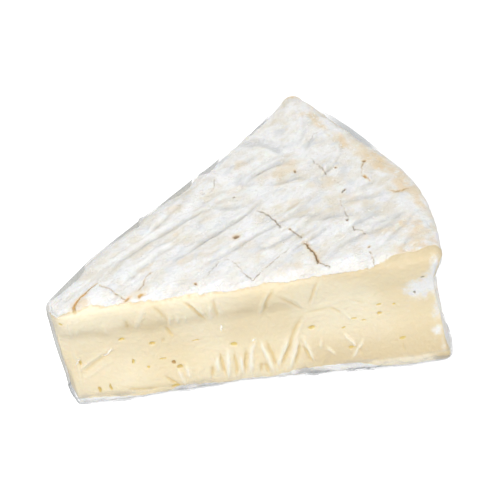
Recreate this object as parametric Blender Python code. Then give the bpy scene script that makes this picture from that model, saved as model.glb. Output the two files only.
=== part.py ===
"""A wedge of white-rinded soft cheese, an eighth of a small wheel, wrapped tight in clear film.

The film lies on the cheese all round, so the wrapped wedge is one closed solid: its outside is the
film's. It stands on its lower rind. The wedge points along -X, and the wheel's rim is at +X.

The blank is a subdivided box, bent to a sector of the wheel with all its edges rounded. Each of its
faces then gets its own relief: the marks of the draining rack on the upper rind, a lip, groove and
foot on the two cut faces, a waist on the rim, and the pleats that the film presses into the paste.
"""

import math

import bmesh
import bpy
import numpy as np

MM = 0.001

# The wheel and the cut
WHEEL_RADIUS = 115 * MM
WHEEL_HEIGHT = 40 * MM
SLICES_IN_WHEEL = 8
TIP_FROM_CENTRE = 5.7 * MM  # the cuts meet short of the wheel's centre, in a blunt tip
HALF_ANGLE = math.pi / SLICES_IN_WHEEL
CUT_LENGTH = WHEEL_RADIUS - TIP_FROM_CENTRE

# Rounding of the edges: how far each reaches in from the rim, the tip and the cuts, and down or up
UPPER_EDGE_HEIGHT = 4.6 * MM
LOWER_EDGE_HEIGHT = 2.4 * MM
UPPER_CUT_EDGE = 4.2 * MM
LOWER_CUT_EDGE = 2.6 * MM
UPPER_RIM_EDGE = 6.0 * MM
LOWER_RIM_EDGE = 3.0 * MM
LOWER_TIP_EDGE = 2.2 * MM
UPPER_TIP_EDGE = 4.8 * MM
NARROW_SHARE = 0.85  # near the tip a cut edge takes at most this share of the half width

# Cells of the box: along the cut, where the pleated stretch has finer ones, across and up
PLEATED_FROM = 34 * MM
PLEATED_TO = 72 * MM
CELLS_TO_PLEATS = 17
CELLS_IN_PLEATS = 36
CELLS_PAST_PLEATS = 23
CELLS_ACROSS = 28
CELLS_UP = 14
CROWDING_ACROSS = 0.35  # how much finer the cells are at the edges than halfway
CROWDING_UP = 0.2

# Upper rind: the rack's furrows, the ring where the rim's band of rind begins, and its own folds
FURROW_PITCH = 10.4 * MM
FURROW_DEPTH = 0.9 * MM
FURROW_TURN = math.radians(12)
FURROW_WANDER = 0.9 * MM
BAND_RADIUS = 93 * MM
BAND_BLEND = 3 * MM
BAND_WANDER = 1.5 * MM
BAND_GROOVE_DEPTH = 0.9 * MM
BAND_GROOVE_REACH = 3.2 * MM
FOLD_PITCH = 7.0 * MM
FOLD_DEPTH = 0.7 * MM
FOLD_TURN = math.radians(38)
TIP_DROP = 2.4 * MM
TIP_DROP_REACH = 14 * MM
FAR_CORNER_LIFT = 1.2 * MM
FAR_CORNER_REACH = 16 * MM

# Cut faces: the rind's lip hangs over a groove, and the paste runs out to a foot
LIP_HEIGHT = 34 * MM
LIP_REACH = 7 * MM
LIP_BULGE = 0.8 * MM
GROOVE_HEIGHT = 28.4 * MM
GROOVE_WANDER = 0.5 * MM
GROOVE_DEPTH = 2.1 * MM
GROOVE_STEP = 1.5 * MM
GROOVE_FADES_FROM = 58 * MM
GROOVE_FADES_TO = 76 * MM
GROOVE_RUNS_OUT_FROM = 24 * MM
GROOVE_RUNS_OUT_TO = 7 * MM
FACE_WAIST_HEIGHT = 27 * MM
FACE_WAIST_REACH = 16 * MM
FACE_WAIST_DEPTH = 1.1 * MM
FOOT_HEIGHT = 20 * MM
FOOT_CURVE = 1.4
FOOT_ALONG = (0, 16 * MM, 50 * MM, 95 * MM)
FOOT_FLARE = (0.6 * MM, 1.9 * MM, 1.1 * MM, 4.1 * MM)

# The far cut face: a longer, lower groove, and an upper edge that waves in and out along the cut
FAR_GROOVE_LOWER = 1.5 * MM
FAR_GROOVE_LONGER = 18 * MM
FAR_EDGE_ALONG = (0, 20 * MM, 45 * MM, 62 * MM, 76 * MM, 90 * MM, 100 * MM, CUT_LENGTH)
FAR_EDGE_OUT = (0, 1.8 * MM, 1.0 * MM, 0, -0.8 * MM, -1.0 * MM, 0.2 * MM, 1.2 * MM)
FAR_EDGE_FROM = 16 * MM

# Pleats along the foot of the near cut face
PLEAT_COUNT = 13
PLEAT_PITCH = 2.7 * MM
FIRST_PLEAT = 36.5 * MM
PLEAT_RISE = 16 * MM
PLEAT_HEIGHT = 0.7 * MM
PLEAT_HALF_WIDTH = 1.5 * MM
FIRST_LEAN = 0.1
LAST_LEAN = 0.55

# Rim: pinched in below its upper edge near the near cut, a little full elsewhere
WAIST_HEIGHT = 28 * MM
WAIST_DEPTH = 2.8 * MM
RIM_FULLNESS = 1.2 * MM
SHOULDER_ANGLE = math.radians(-8)
SHOULDER_REACH = math.radians(14)
SHOULDER_BULGE = 2.0 * MM
TIP_BULGE = 0.3 * MM
TIP_BULGE_HEIGHT = 22 * MM
TIP_BULGE_REACH = 14 * MM

# A face's relief comes in as the surface turns to it, between these shares of facing it
FACING = (0.25, 0.85)

BASE_COLOUR = (0.88, 0.80, 0.62, 1.0)
FILM_ROUGHNESS = 0.3


def ramp(start, end, x):
    """0 before start and 1 past end, with a smooth rise between. start may be the larger."""
    t = np.clip((x - start) / (end - start), 0, 1)
    return t * t * (3 - 2 * t)


def bell(x, centre, reach):
    """1 at centre, falling smoothly to 0 at reach from it."""
    t = np.clip((x - centre) / reach, -1, 1)
    return (1 - t * t) ** 2


def subdivided_box(cells):
    """A box from -1 to 1 with that many cells along X, Y and Z."""
    mesh = bmesh.new()
    bmesh.ops.create_cube(mesh, size=2.0)
    for axis, count in enumerate(cells):
        along = [
            edge
            for edge in mesh.edges
            if abs(edge.verts[0].co[axis] - edge.verts[1].co[axis]) > 0.5
        ]
        bmesh.ops.subdivide_edges(mesh, edges=along, cuts=count - 1, use_grid_fill=True)
    return mesh


def spaced_along_cut(u):
    """Turns an even -1 to 1 into distances from the tip, with fine cells where the pleats are."""
    cells = np.cumsum([0, CELLS_TO_PLEATS, CELLS_IN_PLEATS, CELLS_PAST_PLEATS])
    ends = [0, PLEATED_FROM, PLEATED_TO, CUT_LENGTH]
    return np.interp((u + 1) / 2, cells / cells[-1], ends)


def closer_at_ends(t, amount):
    """Moves even values from -1 to 1 towards the ends, so that the rounded edges get more cells."""
    return t * (1 + amount - amount * t * t)


def wedge_blank(u, v, w):
    """The smooth wedge for points of the box.

    Gives the radius, the angle and the height of each point about the wheel's centre, and how far
    it faces along the radius, along the angle and up."""
    along = spaced_along_cut(u)
    across = closer_at_ends(v, CROWDING_ACROSS)
    height = (closer_at_ends(w, CROWDING_UP) + 1) / 2 * WHEEL_HEIGHT
    half_width = (TIP_FROM_CENTRE + along) * HALF_ANGLE
    upper = ramp(-0.6, 0.6, w)
    cut_edge = np.minimum(
        LOWER_CUT_EDGE + (UPPER_CUT_EDGE - LOWER_CUT_EDGE) * upper, NARROW_SHARE * half_width
    )
    rim_edge = LOWER_RIM_EDGE + (UPPER_RIM_EDGE - LOWER_RIM_EDGE) * upper
    tip_edge = LOWER_TIP_EDGE + (UPPER_TIP_EDGE - LOWER_TIP_EDGE) * upper
    end_edge = np.where(u < 0, tip_edge, rim_edge)
    rise_edge = np.where(w < 0, LOWER_EDGE_HEIGHT, UPPER_EDGE_HEIGHT)

    sideways = across * half_width
    inner_along = np.clip(along, tip_edge, CUT_LENGTH - rim_edge)
    inner_side = np.clip(sideways, cut_edge - half_width, half_width - cut_edge)
    inner_height = np.clip(height, LOWER_EDGE_HEIGHT, WHEEL_HEIGHT - UPPER_EDGE_HEIGHT)
    out = np.stack(
        [
            (along - inner_along) / end_edge,
            (sideways - inner_side) / cut_edge,
            (height - inner_height) / rise_edge,
        ]
    )
    out /= np.linalg.norm(out, axis=0)
    radius = TIP_FROM_CENTRE + inner_along + out[0] * end_edge
    angle = (inner_side + out[1] * cut_edge) / (TIP_FROM_CENTRE + along)
    height = inner_height + out[2] * rise_edge
    return radius, angle, height, out


def upper_rind_relief(x, y, radius):
    """How far the upper rind stands above the flat: rack furrows, the rim's band, a lower tip."""
    across_furrows = y * math.cos(FURROW_TURN) - x * math.sin(FURROW_TURN)
    slow, quick = np.sin(x / (17 * MM)), np.sin(x / (7.3 * MM) + y / (19 * MM))
    wander = FURROW_WANDER * (slow + 0.5 * quick)
    phase = (across_furrows + wander) / FURROW_PITCH
    furrows = -FURROW_DEPTH * (1 - np.abs(np.sin(math.pi * phase)))

    band_edge = BAND_RADIUS + BAND_WANDER * np.sin(y / (9 * MM))
    in_band = ramp(band_edge - BAND_BLEND, band_edge + BAND_BLEND, radius)
    across_folds = y * math.cos(FOLD_TURN) - x * math.sin(FOLD_TURN)
    folds = -FOLD_DEPTH * (1 - np.sin(2 * math.pi * across_folds / FOLD_PITCH)) / 2
    groove = -BAND_GROOVE_DEPTH * bell(radius, band_edge, BAND_GROOVE_REACH)

    tip = -TIP_DROP * ramp(TIP_FROM_CENTRE + TIP_DROP_REACH, TIP_FROM_CENTRE, radius)
    from_corner = np.hypot(
        x - WHEEL_RADIUS * math.cos(HALF_ANGLE), y - WHEEL_RADIUS * math.sin(HALF_ANGLE)
    )
    corner = FAR_CORNER_LIFT * bell(from_corner, 0, FAR_CORNER_REACH)
    return furrows * (1 - in_band) + folds * in_band + groove + tip + corner


def pleats(along, height):
    """The film's pleats at the foot of the near face, leaning more and more towards the rim."""
    total = np.zeros_like(along)
    for number in range(PLEAT_COUNT):
        share = number / (PLEAT_COUNT - 1)
        lean = FIRST_LEAN + (LAST_LEAN - FIRST_LEAN) * share**1.5
        foot = FIRST_PLEAT + number * PLEAT_PITCH
        rise = PLEAT_RISE * (0.75 + 0.35 * math.sin(2.1 * number + 1))
        centre = foot + lean * height
        taper = ramp(rise, 0.2 * rise, height)
        total = np.maximum(total, bell(along, centre, PLEAT_HALF_WIDTH) * taper)
    return PLEAT_HEIGHT * total


def cut_face_relief(along, height, groove_height, groove_until):
    """How far a cut face stands out of its plane: lip, groove and foot."""
    grooved = 1 - ramp(GROOVE_FADES_FROM + groove_until, GROOVE_FADES_TO + groove_until, along)
    lip = LIP_BULGE * bell(height, LIP_HEIGHT, LIP_REACH) * (0.4 + 0.6 * grooved)
    step = groove_height + GROOVE_WANDER * np.sin(along / (6 * MM))
    under = ramp(step + GROOVE_STEP, step - GROOVE_STEP, height)
    runs_out = ramp(GROOVE_RUNS_OUT_TO, GROOVE_RUNS_OUT_FROM, height)
    groove = -GROOVE_DEPTH * under * runs_out * grooved
    waist = -FACE_WAIST_DEPTH * bell(height, FACE_WAIST_HEIGHT, FACE_WAIST_REACH) * (1 - grooved)
    flare = np.interp(along, FOOT_ALONG, FOOT_FLARE)
    foot = flare * ramp(FOOT_HEIGHT, LOWER_EDGE_HEIGHT, height) ** FOOT_CURVE
    return lip + groove + waist + foot


def near_face_relief(along, height):
    return cut_face_relief(along, height, GROOVE_HEIGHT, 0) + pleats(along, height)


def far_face_relief(along, height):
    """Like the near face, with a longer groove, and an upper edge that waves in and out."""
    waved = np.interp(along, FAR_EDGE_ALONG, FAR_EDGE_OUT) * ramp(FAR_EDGE_FROM, WHEEL_HEIGHT, height)
    face = cut_face_relief(along, height, GROOVE_HEIGHT - FAR_GROOVE_LOWER, FAR_GROOVE_LONGER)
    return face + waved


def rim_relief(angle, height):
    """How far the rim stands out: full, pinched at a waist by the near cut, with a shoulder above."""
    by_near_cut = ramp(0, -HALF_ANGLE, angle)
    pinch = np.interp(height, [0, WAIST_HEIGHT, WHEEL_HEIGHT], [0, 1, 0])
    full = RIM_FULLNESS * bell(height, 0.45 * WHEEL_HEIGHT, 0.5 * WHEEL_HEIGHT)
    shoulder = SHOULDER_BULGE * bell(angle, SHOULDER_ANGLE, SHOULDER_REACH)
    shoulder *= ramp(0.3 * WHEEL_HEIGHT, 0.8 * WHEEL_HEIGHT, height)
    return full * (1 - by_near_cut) - WAIST_DEPTH * pinch * by_near_cut + shoulder


def wrapped_wedge_points(points):
    """Places the box's points on the wrapped wedge, with the wheel's centre at the origin."""
    radius, angle, height, out = wedge_blank(*points.T)
    x, y = radius * np.cos(angle), radius * np.sin(angle)
    along = radius - TIP_FROM_CENTRE
    faces_up = ramp(*FACING, out[2])
    faces_near = ramp(*FACING, -out[1])
    faces_far = ramp(*FACING, out[1])
    faces_rim = ramp(*FACING, out[0])
    faces_tip = ramp(*FACING, -out[0])

    near_out = faces_near * near_face_relief(along, height)
    far_out = faces_far * far_face_relief(along, height)
    rim_out = faces_rim * rim_relief(angle, height)
    rim_out -= faces_tip * TIP_BULGE * bell(height, TIP_BULGE_HEIGHT, TIP_BULGE_REACH)
    up = faces_up * upper_rind_relief(x, y, radius)
    return np.stack(
        [
            x - math.sin(HALF_ANGLE) * (near_out + far_out) + rim_out * np.cos(angle),
            y + math.cos(HALF_ANGLE) * (far_out - near_out) + rim_out * np.sin(angle),
            height + up,
        ],
        axis=1,
    )


def wrap_material():
    """One finish for the solid: creamy paste and pale rind seen through glossy film."""
    material = bpy.data.materials.new("wrapped_cheese")
    material.use_nodes = True
    shader = material.node_tree.nodes["Principled BSDF"]
    shader.inputs["Base Color"].default_value = BASE_COLOUR
    shader.inputs["Roughness"].default_value = FILM_ROUGHNESS
    shader.inputs["Metallic"].default_value = 0.0
    return material


def make_wrapped_wedge(collection):
    box = subdivided_box(
        (CELLS_TO_PLEATS + CELLS_IN_PLEATS + CELLS_PAST_PLEATS, CELLS_ACROSS, CELLS_UP)
    )
    mesh = bpy.data.meshes.new("wrapped_wedge")
    box.to_mesh(mesh)
    box.free()
    points = np.empty(len(mesh.vertices) * 3)
    mesh.vertices.foreach_get("co", points)
    placed = wrapped_wedge_points(points.reshape(-1, 3))
    low, high = placed.min(axis=0), placed.max(axis=0)
    middle = (low + high) / 2
    placed -= (middle[0], middle[1], low[2])  # the origin is the middle of the box's underside
    mesh.vertices.foreach_set("co", placed.ravel())
    mesh.update()
    mesh.shade_smooth()
    mesh.materials.append(wrap_material())
    wedge = bpy.data.objects.new("wrapped_wedge", mesh)
    collection.objects.link(wedge)
    return wedge


def main():
    for old in list(bpy.data.objects):
        bpy.data.objects.remove(old)
    collection = bpy.data.collections.new("wrapped_cheese_wedge")
    bpy.context.scene.collection.children.link(collection)
    make_wrapped_wedge(collection)


main()
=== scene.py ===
"""A wedge of white-rinded soft cheese in clear film: the looks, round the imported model."""

import math
from typing import NamedTuple

import bmesh
import bpy
import numpy as np
from mathutils import Matrix, Vector, noise


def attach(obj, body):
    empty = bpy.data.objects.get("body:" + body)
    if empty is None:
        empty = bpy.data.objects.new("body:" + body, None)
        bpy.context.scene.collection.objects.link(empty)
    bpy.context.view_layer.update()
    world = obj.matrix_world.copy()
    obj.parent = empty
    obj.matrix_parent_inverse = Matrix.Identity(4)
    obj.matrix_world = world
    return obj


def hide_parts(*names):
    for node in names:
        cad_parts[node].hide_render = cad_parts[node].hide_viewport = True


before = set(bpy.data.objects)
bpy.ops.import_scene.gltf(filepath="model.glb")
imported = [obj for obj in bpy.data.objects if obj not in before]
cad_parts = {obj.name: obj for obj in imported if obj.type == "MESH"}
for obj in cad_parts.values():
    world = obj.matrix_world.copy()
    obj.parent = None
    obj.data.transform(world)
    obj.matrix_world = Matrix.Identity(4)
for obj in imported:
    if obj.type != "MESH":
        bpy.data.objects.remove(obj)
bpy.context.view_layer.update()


# =============================================================================================
# The cheese
# An eighth of a small wheel of soft cheese: a creamy paste under a downy white rind. It drained
# on a rack, which left furrows in its upper rind, and two knife cuts laid the paste bare.
# =============================================================================================

MM = 0.001

# The wheel and the cut, as in the part
WHEEL_RADIUS = 115 * MM
WHEEL_HEIGHT = 40 * MM
TIP_FROM_CENTRE = 5.7 * MM
HALF_ANGLE = math.pi / 8
CUT_LENGTH = WHEEL_RADIUS - TIP_FROM_CENTRE
WHEEL_X = -61.07 * MM  # the wheel's centre lies on the X axis, a little past the blunt tip

# Rounding of the edges, for the lower and for the upper ones
EDGES = {
    "Rise": (2.4 * MM, 4.6 * MM),
    "Cut": (2.6 * MM, 4.2 * MM),
    "Rim": (3.0 * MM, 6.0 * MM),
    "Tip": (2.2 * MM, 4.8 * MM),
}
EDGE_BLEND = 0.6  # the lower rounding goes over into the upper one in this share of the height
NARROW_SHARE = 0.85  # near the tip a cut edge takes at most this share of the half width
FACING = (0.25, 0.85)  # a face's relief comes in between these shares of facing it


class Value:
    """A number in a node tree. Arithmetic on it adds Math nodes, so a formula reads as one."""

    def __init__(self, socket):
        self.socket, self.tree = socket, socket.id_data

    def math(self, operation, *others):
        given = dict(enumerate((self, *others)))
        return Value(add(self.tree, "ShaderNodeMath", given, operation=operation).outputs[0])

    def __add__(self, other):
        return self.math("ADD", other)

    def __sub__(self, other):
        return self.math("SUBTRACT", other)

    def __mul__(self, other):
        return self.math("MULTIPLY", other)

    def __truediv__(self, other):
        return self.math("DIVIDE", other)

    def clip(self, low, high):
        return self.math("MAXIMUM", low).math("MINIMUM", high)

    def ramp(self, start, end):
        """0 before start and 1 past end, with a smooth rise between. start may be the larger."""
        low, high, first, last = (start, end, 0.0, 1.0) if start <= end else (end, start, 1.0, 0.0)
        given = {"Value": self, "From Min": low, "From Max": high, "To Min": first, "To Max": last}
        node = add(self.tree, "ShaderNodeMapRange", given, interpolation_type="SMOOTHSTEP")
        return Value(node.outputs[0])


def feed(slot, given):
    """Links a Value or a socket to an input, or sets the input to a plain value."""
    if isinstance(given, Value):
        given = given.socket
    if isinstance(given, bpy.types.NodeSocket):
        slot.id_data.links.new(given, slot)
    else:
        slot.default_value = given


def feed_all(node, given):
    """Feeds a node's inputs, given by their names or numbers."""
    for key, value in given.items():
        feed(node.inputs[key], value)


def add(tree, kind, given, **settings):
    """Adds a node, makes its settings and feeds its inputs."""
    node = tree.nodes.new(kind)
    for name, value in settings.items():
        setattr(node, name, value)
    feed_all(node, given)
    return node


def between(low, high, share):
    return (high - low) * share + low


def open_tree(tree, names):
    """Gives a tree its named inputs, by kind, and returns their sockets."""
    for kind, names_of_kind in names.items():
        for name in names_of_kind:
            tree.interface.new_socket(name, in_out="INPUT", socket_type=f"NodeSocket{kind}")
    return tree.nodes.new("NodeGroupInput").outputs


def close_tree(tree, geometry, material):
    """Ends a tree: instances made real, and the material set."""
    real = add(tree, "GeometryNodeRealizeInstances", {"Geometry": geometry}).outputs["Geometry"]
    paint = add(tree, "GeometryNodeSetMaterial", {"Geometry": real, "Material": material})
    tree.interface.new_socket("Geometry", in_out="OUTPUT", socket_type="NodeSocketGeometry")
    add(tree, "NodeGroupOutput", {"Geometry": paint.outputs["Geometry"]})


def in_scene(name, data):
    """An object at the origin that shows the data."""
    thing = bpy.data.objects.new(name, data)
    bpy.context.scene.collection.objects.link(thing)
    return thing


def finished_mesh(carrier):
    """What an object's modifiers make, as a plain mesh. The object goes."""
    made = carrier.evaluated_get(bpy.context.evaluated_depsgraph_get())
    mesh = bpy.data.meshes.new_from_object(made)
    bpy.data.objects.remove(carrier)
    return mesh


def plain_mesh(tree, values, name, start=None):
    """What the tree makes, as a plain mesh. Its inputs are set by name."""
    carrier = in_scene("carrier", start or bpy.data.meshes.new("carrier"))
    modifier = carrier.modifiers.new("tree", "NODES")
    modifier.node_group = tree
    for item in tree.interface.items_tree:
        if item.item_type == "SOCKET" and item.in_out == "INPUT" and item.name in values:
            modifier[item.identifier] = values[item.name]
    mesh = finished_mesh(carrier)
    mesh.name = name
    return mesh


def sector_tree():
    """Geometry nodes for a sector of a wheel with rounded edges: a box of cells, bent.

    Each point keeps how far it faces along the radius, along the angle and up."""
    tree = bpy.data.node_groups.new("sector_of_a_wheel", "GeometryNodeTree")
    counts = ["Cells Along", "Cells Across", "Cells Up"]
    sizes = ["Wheel Radius", "Wheel Height", "Tip From Centre", "Half Angle", "Wheel X"]
    sizes += [f"{place} {edge} Edge" for edge in EDGES for place in ("Lower", "Upper")]
    given = open_tree(tree, {"Int": counts, "Float": sizes, "Material": ["Material"]})
    size = {name: Value(given[name]) for name in sizes}

    points = {f"Vertices {axis}": Value(given[name]) + 1 for axis, name in zip("XYZ", counts)}
    box = add(tree, "GeometryNodeMeshCube", {"Size": (2, 2, 2), **points})
    position = add(tree, "GeometryNodeInputPosition", {}).outputs[0]
    u, v, w = map(Value, add(tree, "ShaderNodeSeparateXYZ", {0: position}).outputs)

    upper = w.ramp(-EDGE_BLEND, EDGE_BLEND)
    cut, rim, tip = [
        between(size[f"Lower {edge} Edge"], size[f"Upper {edge} Edge"], upper)
        for edge in ("Cut", "Rim", "Tip")
    ]
    rise = between(size["Lower Rise Edge"], size["Upper Rise Edge"], w.math("GREATER_THAN", 0.0))
    end = between(tip, rim, u.math("GREATER_THAN", 0.0))

    cut_length = size["Wheel Radius"] - size["Tip From Centre"]
    along = (u + 1) * 0.5 * cut_length
    from_centre = along + size["Tip From Centre"]
    half_width = from_centre * size["Half Angle"]
    cut = cut.math("MINIMUM", half_width * NARROW_SHARE)
    sideways = v * half_width
    height = (w + 1) * 0.5 * size["Wheel Height"]
    inner_along = along.clip(tip, cut_length - rim)
    inner_side = sideways.clip(cut - half_width, half_width - cut)
    inner_height = height.clip(size["Lower Rise Edge"], size["Wheel Height"] - size["Upper Rise Edge"])
    out = [(along - inner_along) / end, (sideways - inner_side) / cut, (height - inner_height) / rise]
    length = (out[0] * out[0] + out[1] * out[1] + out[2] * out[2]).math("SQRT")
    out = [share / length for share in out]
    radius = inner_along + size["Tip From Centre"] + out[0] * end
    angle = (inner_side + out[1] * cut) / from_centre
    bent = (
        radius * angle.math("COSINE") + size["Wheel X"],
        radius * angle.math("SINE"),
        inner_height + out[2] * rise,
    )
    facing, place = [
        add(tree, "ShaderNodeCombineXYZ", dict(enumerate(parts))).outputs[0] for parts in (out, bent)
    ]
    kept = {"Geometry": box.outputs["Mesh"], "Name": "facing", "Value": facing}
    keep = add(tree, "GeometryNodeStoreNamedAttribute", kept, data_type="FLOAT_VECTOR", domain="POINT")
    moved = {"Geometry": keep.outputs["Geometry"], "Position": place}
    bend = add(tree, "GeometryNodeSetPosition", moved)
    close_tree(tree, bend.outputs["Geometry"], given["Material"])
    return tree


SECTOR = sector_tree()
SECTOR_SIZES = {
    "Wheel Radius": WHEEL_RADIUS,
    "Wheel Height": WHEEL_HEIGHT,
    "Tip From Centre": TIP_FROM_CENTRE,
    "Half Angle": HALF_ANGLE,
    "Wheel X": WHEEL_X,
}
for edge, (lower, upper) in EDGES.items():
    SECTOR_SIZES |= {f"Lower {edge} Edge": lower, f"Upper {edge} Edge": upper}


def read_points(mesh, layer, key):
    values = np.empty(len(mesh.vertices) * 3)
    layer.foreach_get(key, values)
    return values.reshape(-1, 3)


def ramp(start, end, x):
    """0 before start and 1 past end, with a smooth rise between. start may be the larger."""
    t = np.clip((x - start) / (end - start), 0, 1)
    return t * t * (3 - 2 * t)


def bell(x, centre, reach):
    """1 at centre, falling smoothly to 0 at reach from it."""
    t = np.clip((x - centre) / reach, -1, 1)
    return (1 - t * t) ** 2


def lumps(points, size, seed):
    """Smooth noise from about -1 to 1, with lumps of one size, or of one size for each axis."""
    scaled = points / np.asarray(size) + 31.7 * seed
    return np.array([noise.noise(point) for point in scaled.tolist()])


def wobble(points, size, seed):
    """Smooth noise for both directions of a plane."""
    return np.stack([lumps(points, size, seed), lumps(points, size, seed + 1)], axis=1)


def trace(x, line, units=(MM, MM)):
    """The value at x of a line through the points of a list, which has them in those units."""
    return np.interp(x, *(np.array(line) * units).T)


SHARES = (MM, 1)  # the units of a list of places in mm, each with a share


def follow(flat_points, route):
    """How far points of a plane lie from a route in mm, and how far along it: 0 to 1."""
    closest, place = np.full(len(flat_points), np.inf), np.zeros(len(flat_points))
    corners = np.array(route) * MM
    lengths = np.hypot(*np.diff(corners, axis=0).T)
    done = np.concatenate([[0], np.cumsum(lengths)]) / lengths.sum()
    for start, end, before, after in zip(corners[:-1], corners[1:], done[:-1], done[1:]):
        step = end - start
        share = np.clip((flat_points - start) @ step / (step @ step), 0, 1)
        gap = flat_points - start - share[:, None] * step
        away = np.hypot(gap[:, 0], gap[:, 1])
        nearer = away < closest
        closest[nearer] = away[nearer]
        place[nearer] = (before + share * (after - before))[nearer]
    return closest, place


def nearness(flat_points, route, reach):
    """1 on a route through flat points, falling smoothly to 0 at reach from it."""
    return bell(follow(flat_points, route)[0], 0, reach)


FOLD_WIDTH = 0.35


def folded(values):
    """Turns smooth noise into sharp folds: 1 along its zero lines, 0 away from them."""
    return 1 - np.minimum(1, np.abs(values) / FOLD_WIDTH)


class Blank:
    """The bent box as arrays, before its relief: where each point is, and how it faces."""

    def __init__(self, name, cells, material, finer=()):
        counts = dict(zip(("Cells Along", "Cells Across", "Cells Up"), cells))
        self.mesh = plain_mesh(SECTOR, {**SECTOR_SIZES, **counts, "Material": material}, name)
        self.read()
        for chooses, cuts in finer:
            split_cells(self.mesh, chooses(self), cuts)
            self.read()

    def read(self):
        self.points = read_points(self.mesh, self.mesh.vertices, "co")
        self.facing = read_points(self.mesh, self.mesh.attributes["facing"].data, "vector")
        self.facing /= np.linalg.norm(self.facing, axis=1)[:, None]
        self.top = self.points[:, :2]
        self.height = self.points[:, 2]
        self.x, self.y = self.points[:, 0] - WHEEL_X, self.points[:, 1]
        self.radius, self.angle = np.hypot(self.x, self.y), np.arctan2(self.y, self.x)
        self.along = self.radius - TIP_FROM_CENTRE
        self.side = np.stack([self.along, self.height], axis=1)
        radial, sideways, up = self.facing.T
        cosine, sine = np.cos(self.angle), np.sin(self.angle)
        self.normal = np.stack(
            [radial * cosine - sideways * sine, radial * sine + sideways * cosine, up], axis=1
        )
        self.faces = {
            "up": ramp(*FACING, up),
            "down": ramp(*FACING, -up),
            "near": ramp(*FACING, -sideways),
            "far": ramp(*FACING, sideways),
            "rim": ramp(*FACING, radial),
            "tip": ramp(*FACING, -radial),
        }


def split_cells(mesh, chosen, cuts):
    """Makes finer cells between the chosen points."""
    cells = bmesh.new()
    cells.from_mesh(mesh)
    edges = [e for e in cells.edges if chosen[e.verts[0].index] and chosen[e.verts[1].index]]
    bmesh.ops.subdivide_edges(cells, edges=edges, cuts=cuts, use_grid_fill=True)
    cells.to_mesh(mesh)
    cells.free()


UNDERSIDE = -0.999  # the flat underside faces down at least as straight as this
UNDERSIDE_SHARE = 0.12


def coarser_underside(blank):
    """Merges most cells of the flat underside, which needs only a few."""
    carrier = in_scene("carrier", blank.mesh)
    flat = carrier.vertex_groups.new(name="flat")
    flat.add(np.flatnonzero(blank.facing[:, 2] < UNDERSIDE).tolist(), 1.0, "REPLACE")
    merge = carrier.modifiers.new("merge", "DECIMATE")
    merge.vertex_group = "flat"
    underside = sum(face.normal.z < UNDERSIDE for face in blank.mesh.polygons)
    merge.ratio = 1 - underside * (1 - UNDERSIDE_SHARE) / len(blank.mesh.polygons)
    mesh = finished_mesh(carrier)
    bpy.data.meshes.remove(blank.mesh)
    blank.mesh = mesh
    blank.read()


# Upper rind, as in the part: the rack's furrows, and the ring where the rim's band of rind begins
FURROW_PITCH = 10.4 * MM
FURROW_DEPTH = 0.9 * MM
FURROW_TURN = math.radians(12)
FURROW_WANDER = 0.9 * MM
FURROW_WAVES = (17 * MM, 7.3 * MM, 19 * MM)  # the slow one, and the quick one along X and Y
QUICK_SHARE = 0.5
BAND_RADIUS = 93 * MM
BAND_BLEND = 3 * MM
BAND_WANDER = 1.5 * MM
BAND_WAVE = 9 * MM
BAND_GROOVE_DEPTH = 0.55 * MM
BAND_GROOVE_REACH = 3.2 * MM
FOLD_PITCH = 7.0 * MM
FOLD_DEPTH = 0.4 * MM
FOLD_TURN = math.radians(38)
TIP_DROP = 2.4 * MM
TIP_DROP_REACH = 14 * MM
FAR_CORNER_LIFT = 1.7 * MM
FAR_CORNER_REACH = 16 * MM


def upper_rind_relief(x, y, radius):
    """How far the upper rind stands above the flat."""
    across = y * math.cos(FURROW_TURN) - x * math.sin(FURROW_TURN)
    slow = np.sin(x / FURROW_WAVES[0])
    quick = np.sin(x / FURROW_WAVES[1] + y / FURROW_WAVES[2])
    phase = (across + FURROW_WANDER * (slow + QUICK_SHARE * quick)) / FURROW_PITCH
    furrows = -FURROW_DEPTH * (1 - np.abs(np.sin(math.pi * phase)))
    band_edge = BAND_RADIUS + BAND_WANDER * np.sin(y / BAND_WAVE)
    in_band = ramp(band_edge - BAND_BLEND, band_edge + BAND_BLEND, radius)
    across_folds = y * math.cos(FOLD_TURN) - x * math.sin(FOLD_TURN)
    folds = -FOLD_DEPTH * (1 - np.sin(2 * math.pi * across_folds / FOLD_PITCH)) / 2
    groove = -BAND_GROOVE_DEPTH * bell(radius, band_edge, BAND_GROOVE_REACH)
    tip = -TIP_DROP * ramp(TIP_FROM_CENTRE + TIP_DROP_REACH, TIP_FROM_CENTRE, radius)
    corner_x, corner_y = WHEEL_RADIUS * math.cos(HALF_ANGLE), WHEEL_RADIUS * math.sin(HALF_ANGLE)
    corner = FAR_CORNER_LIFT * bell(np.hypot(x - corner_x, y - corner_y), 0, FAR_CORNER_REACH)
    return furrows * (1 - in_band) + folds * in_band + groove + tip + corner


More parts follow.
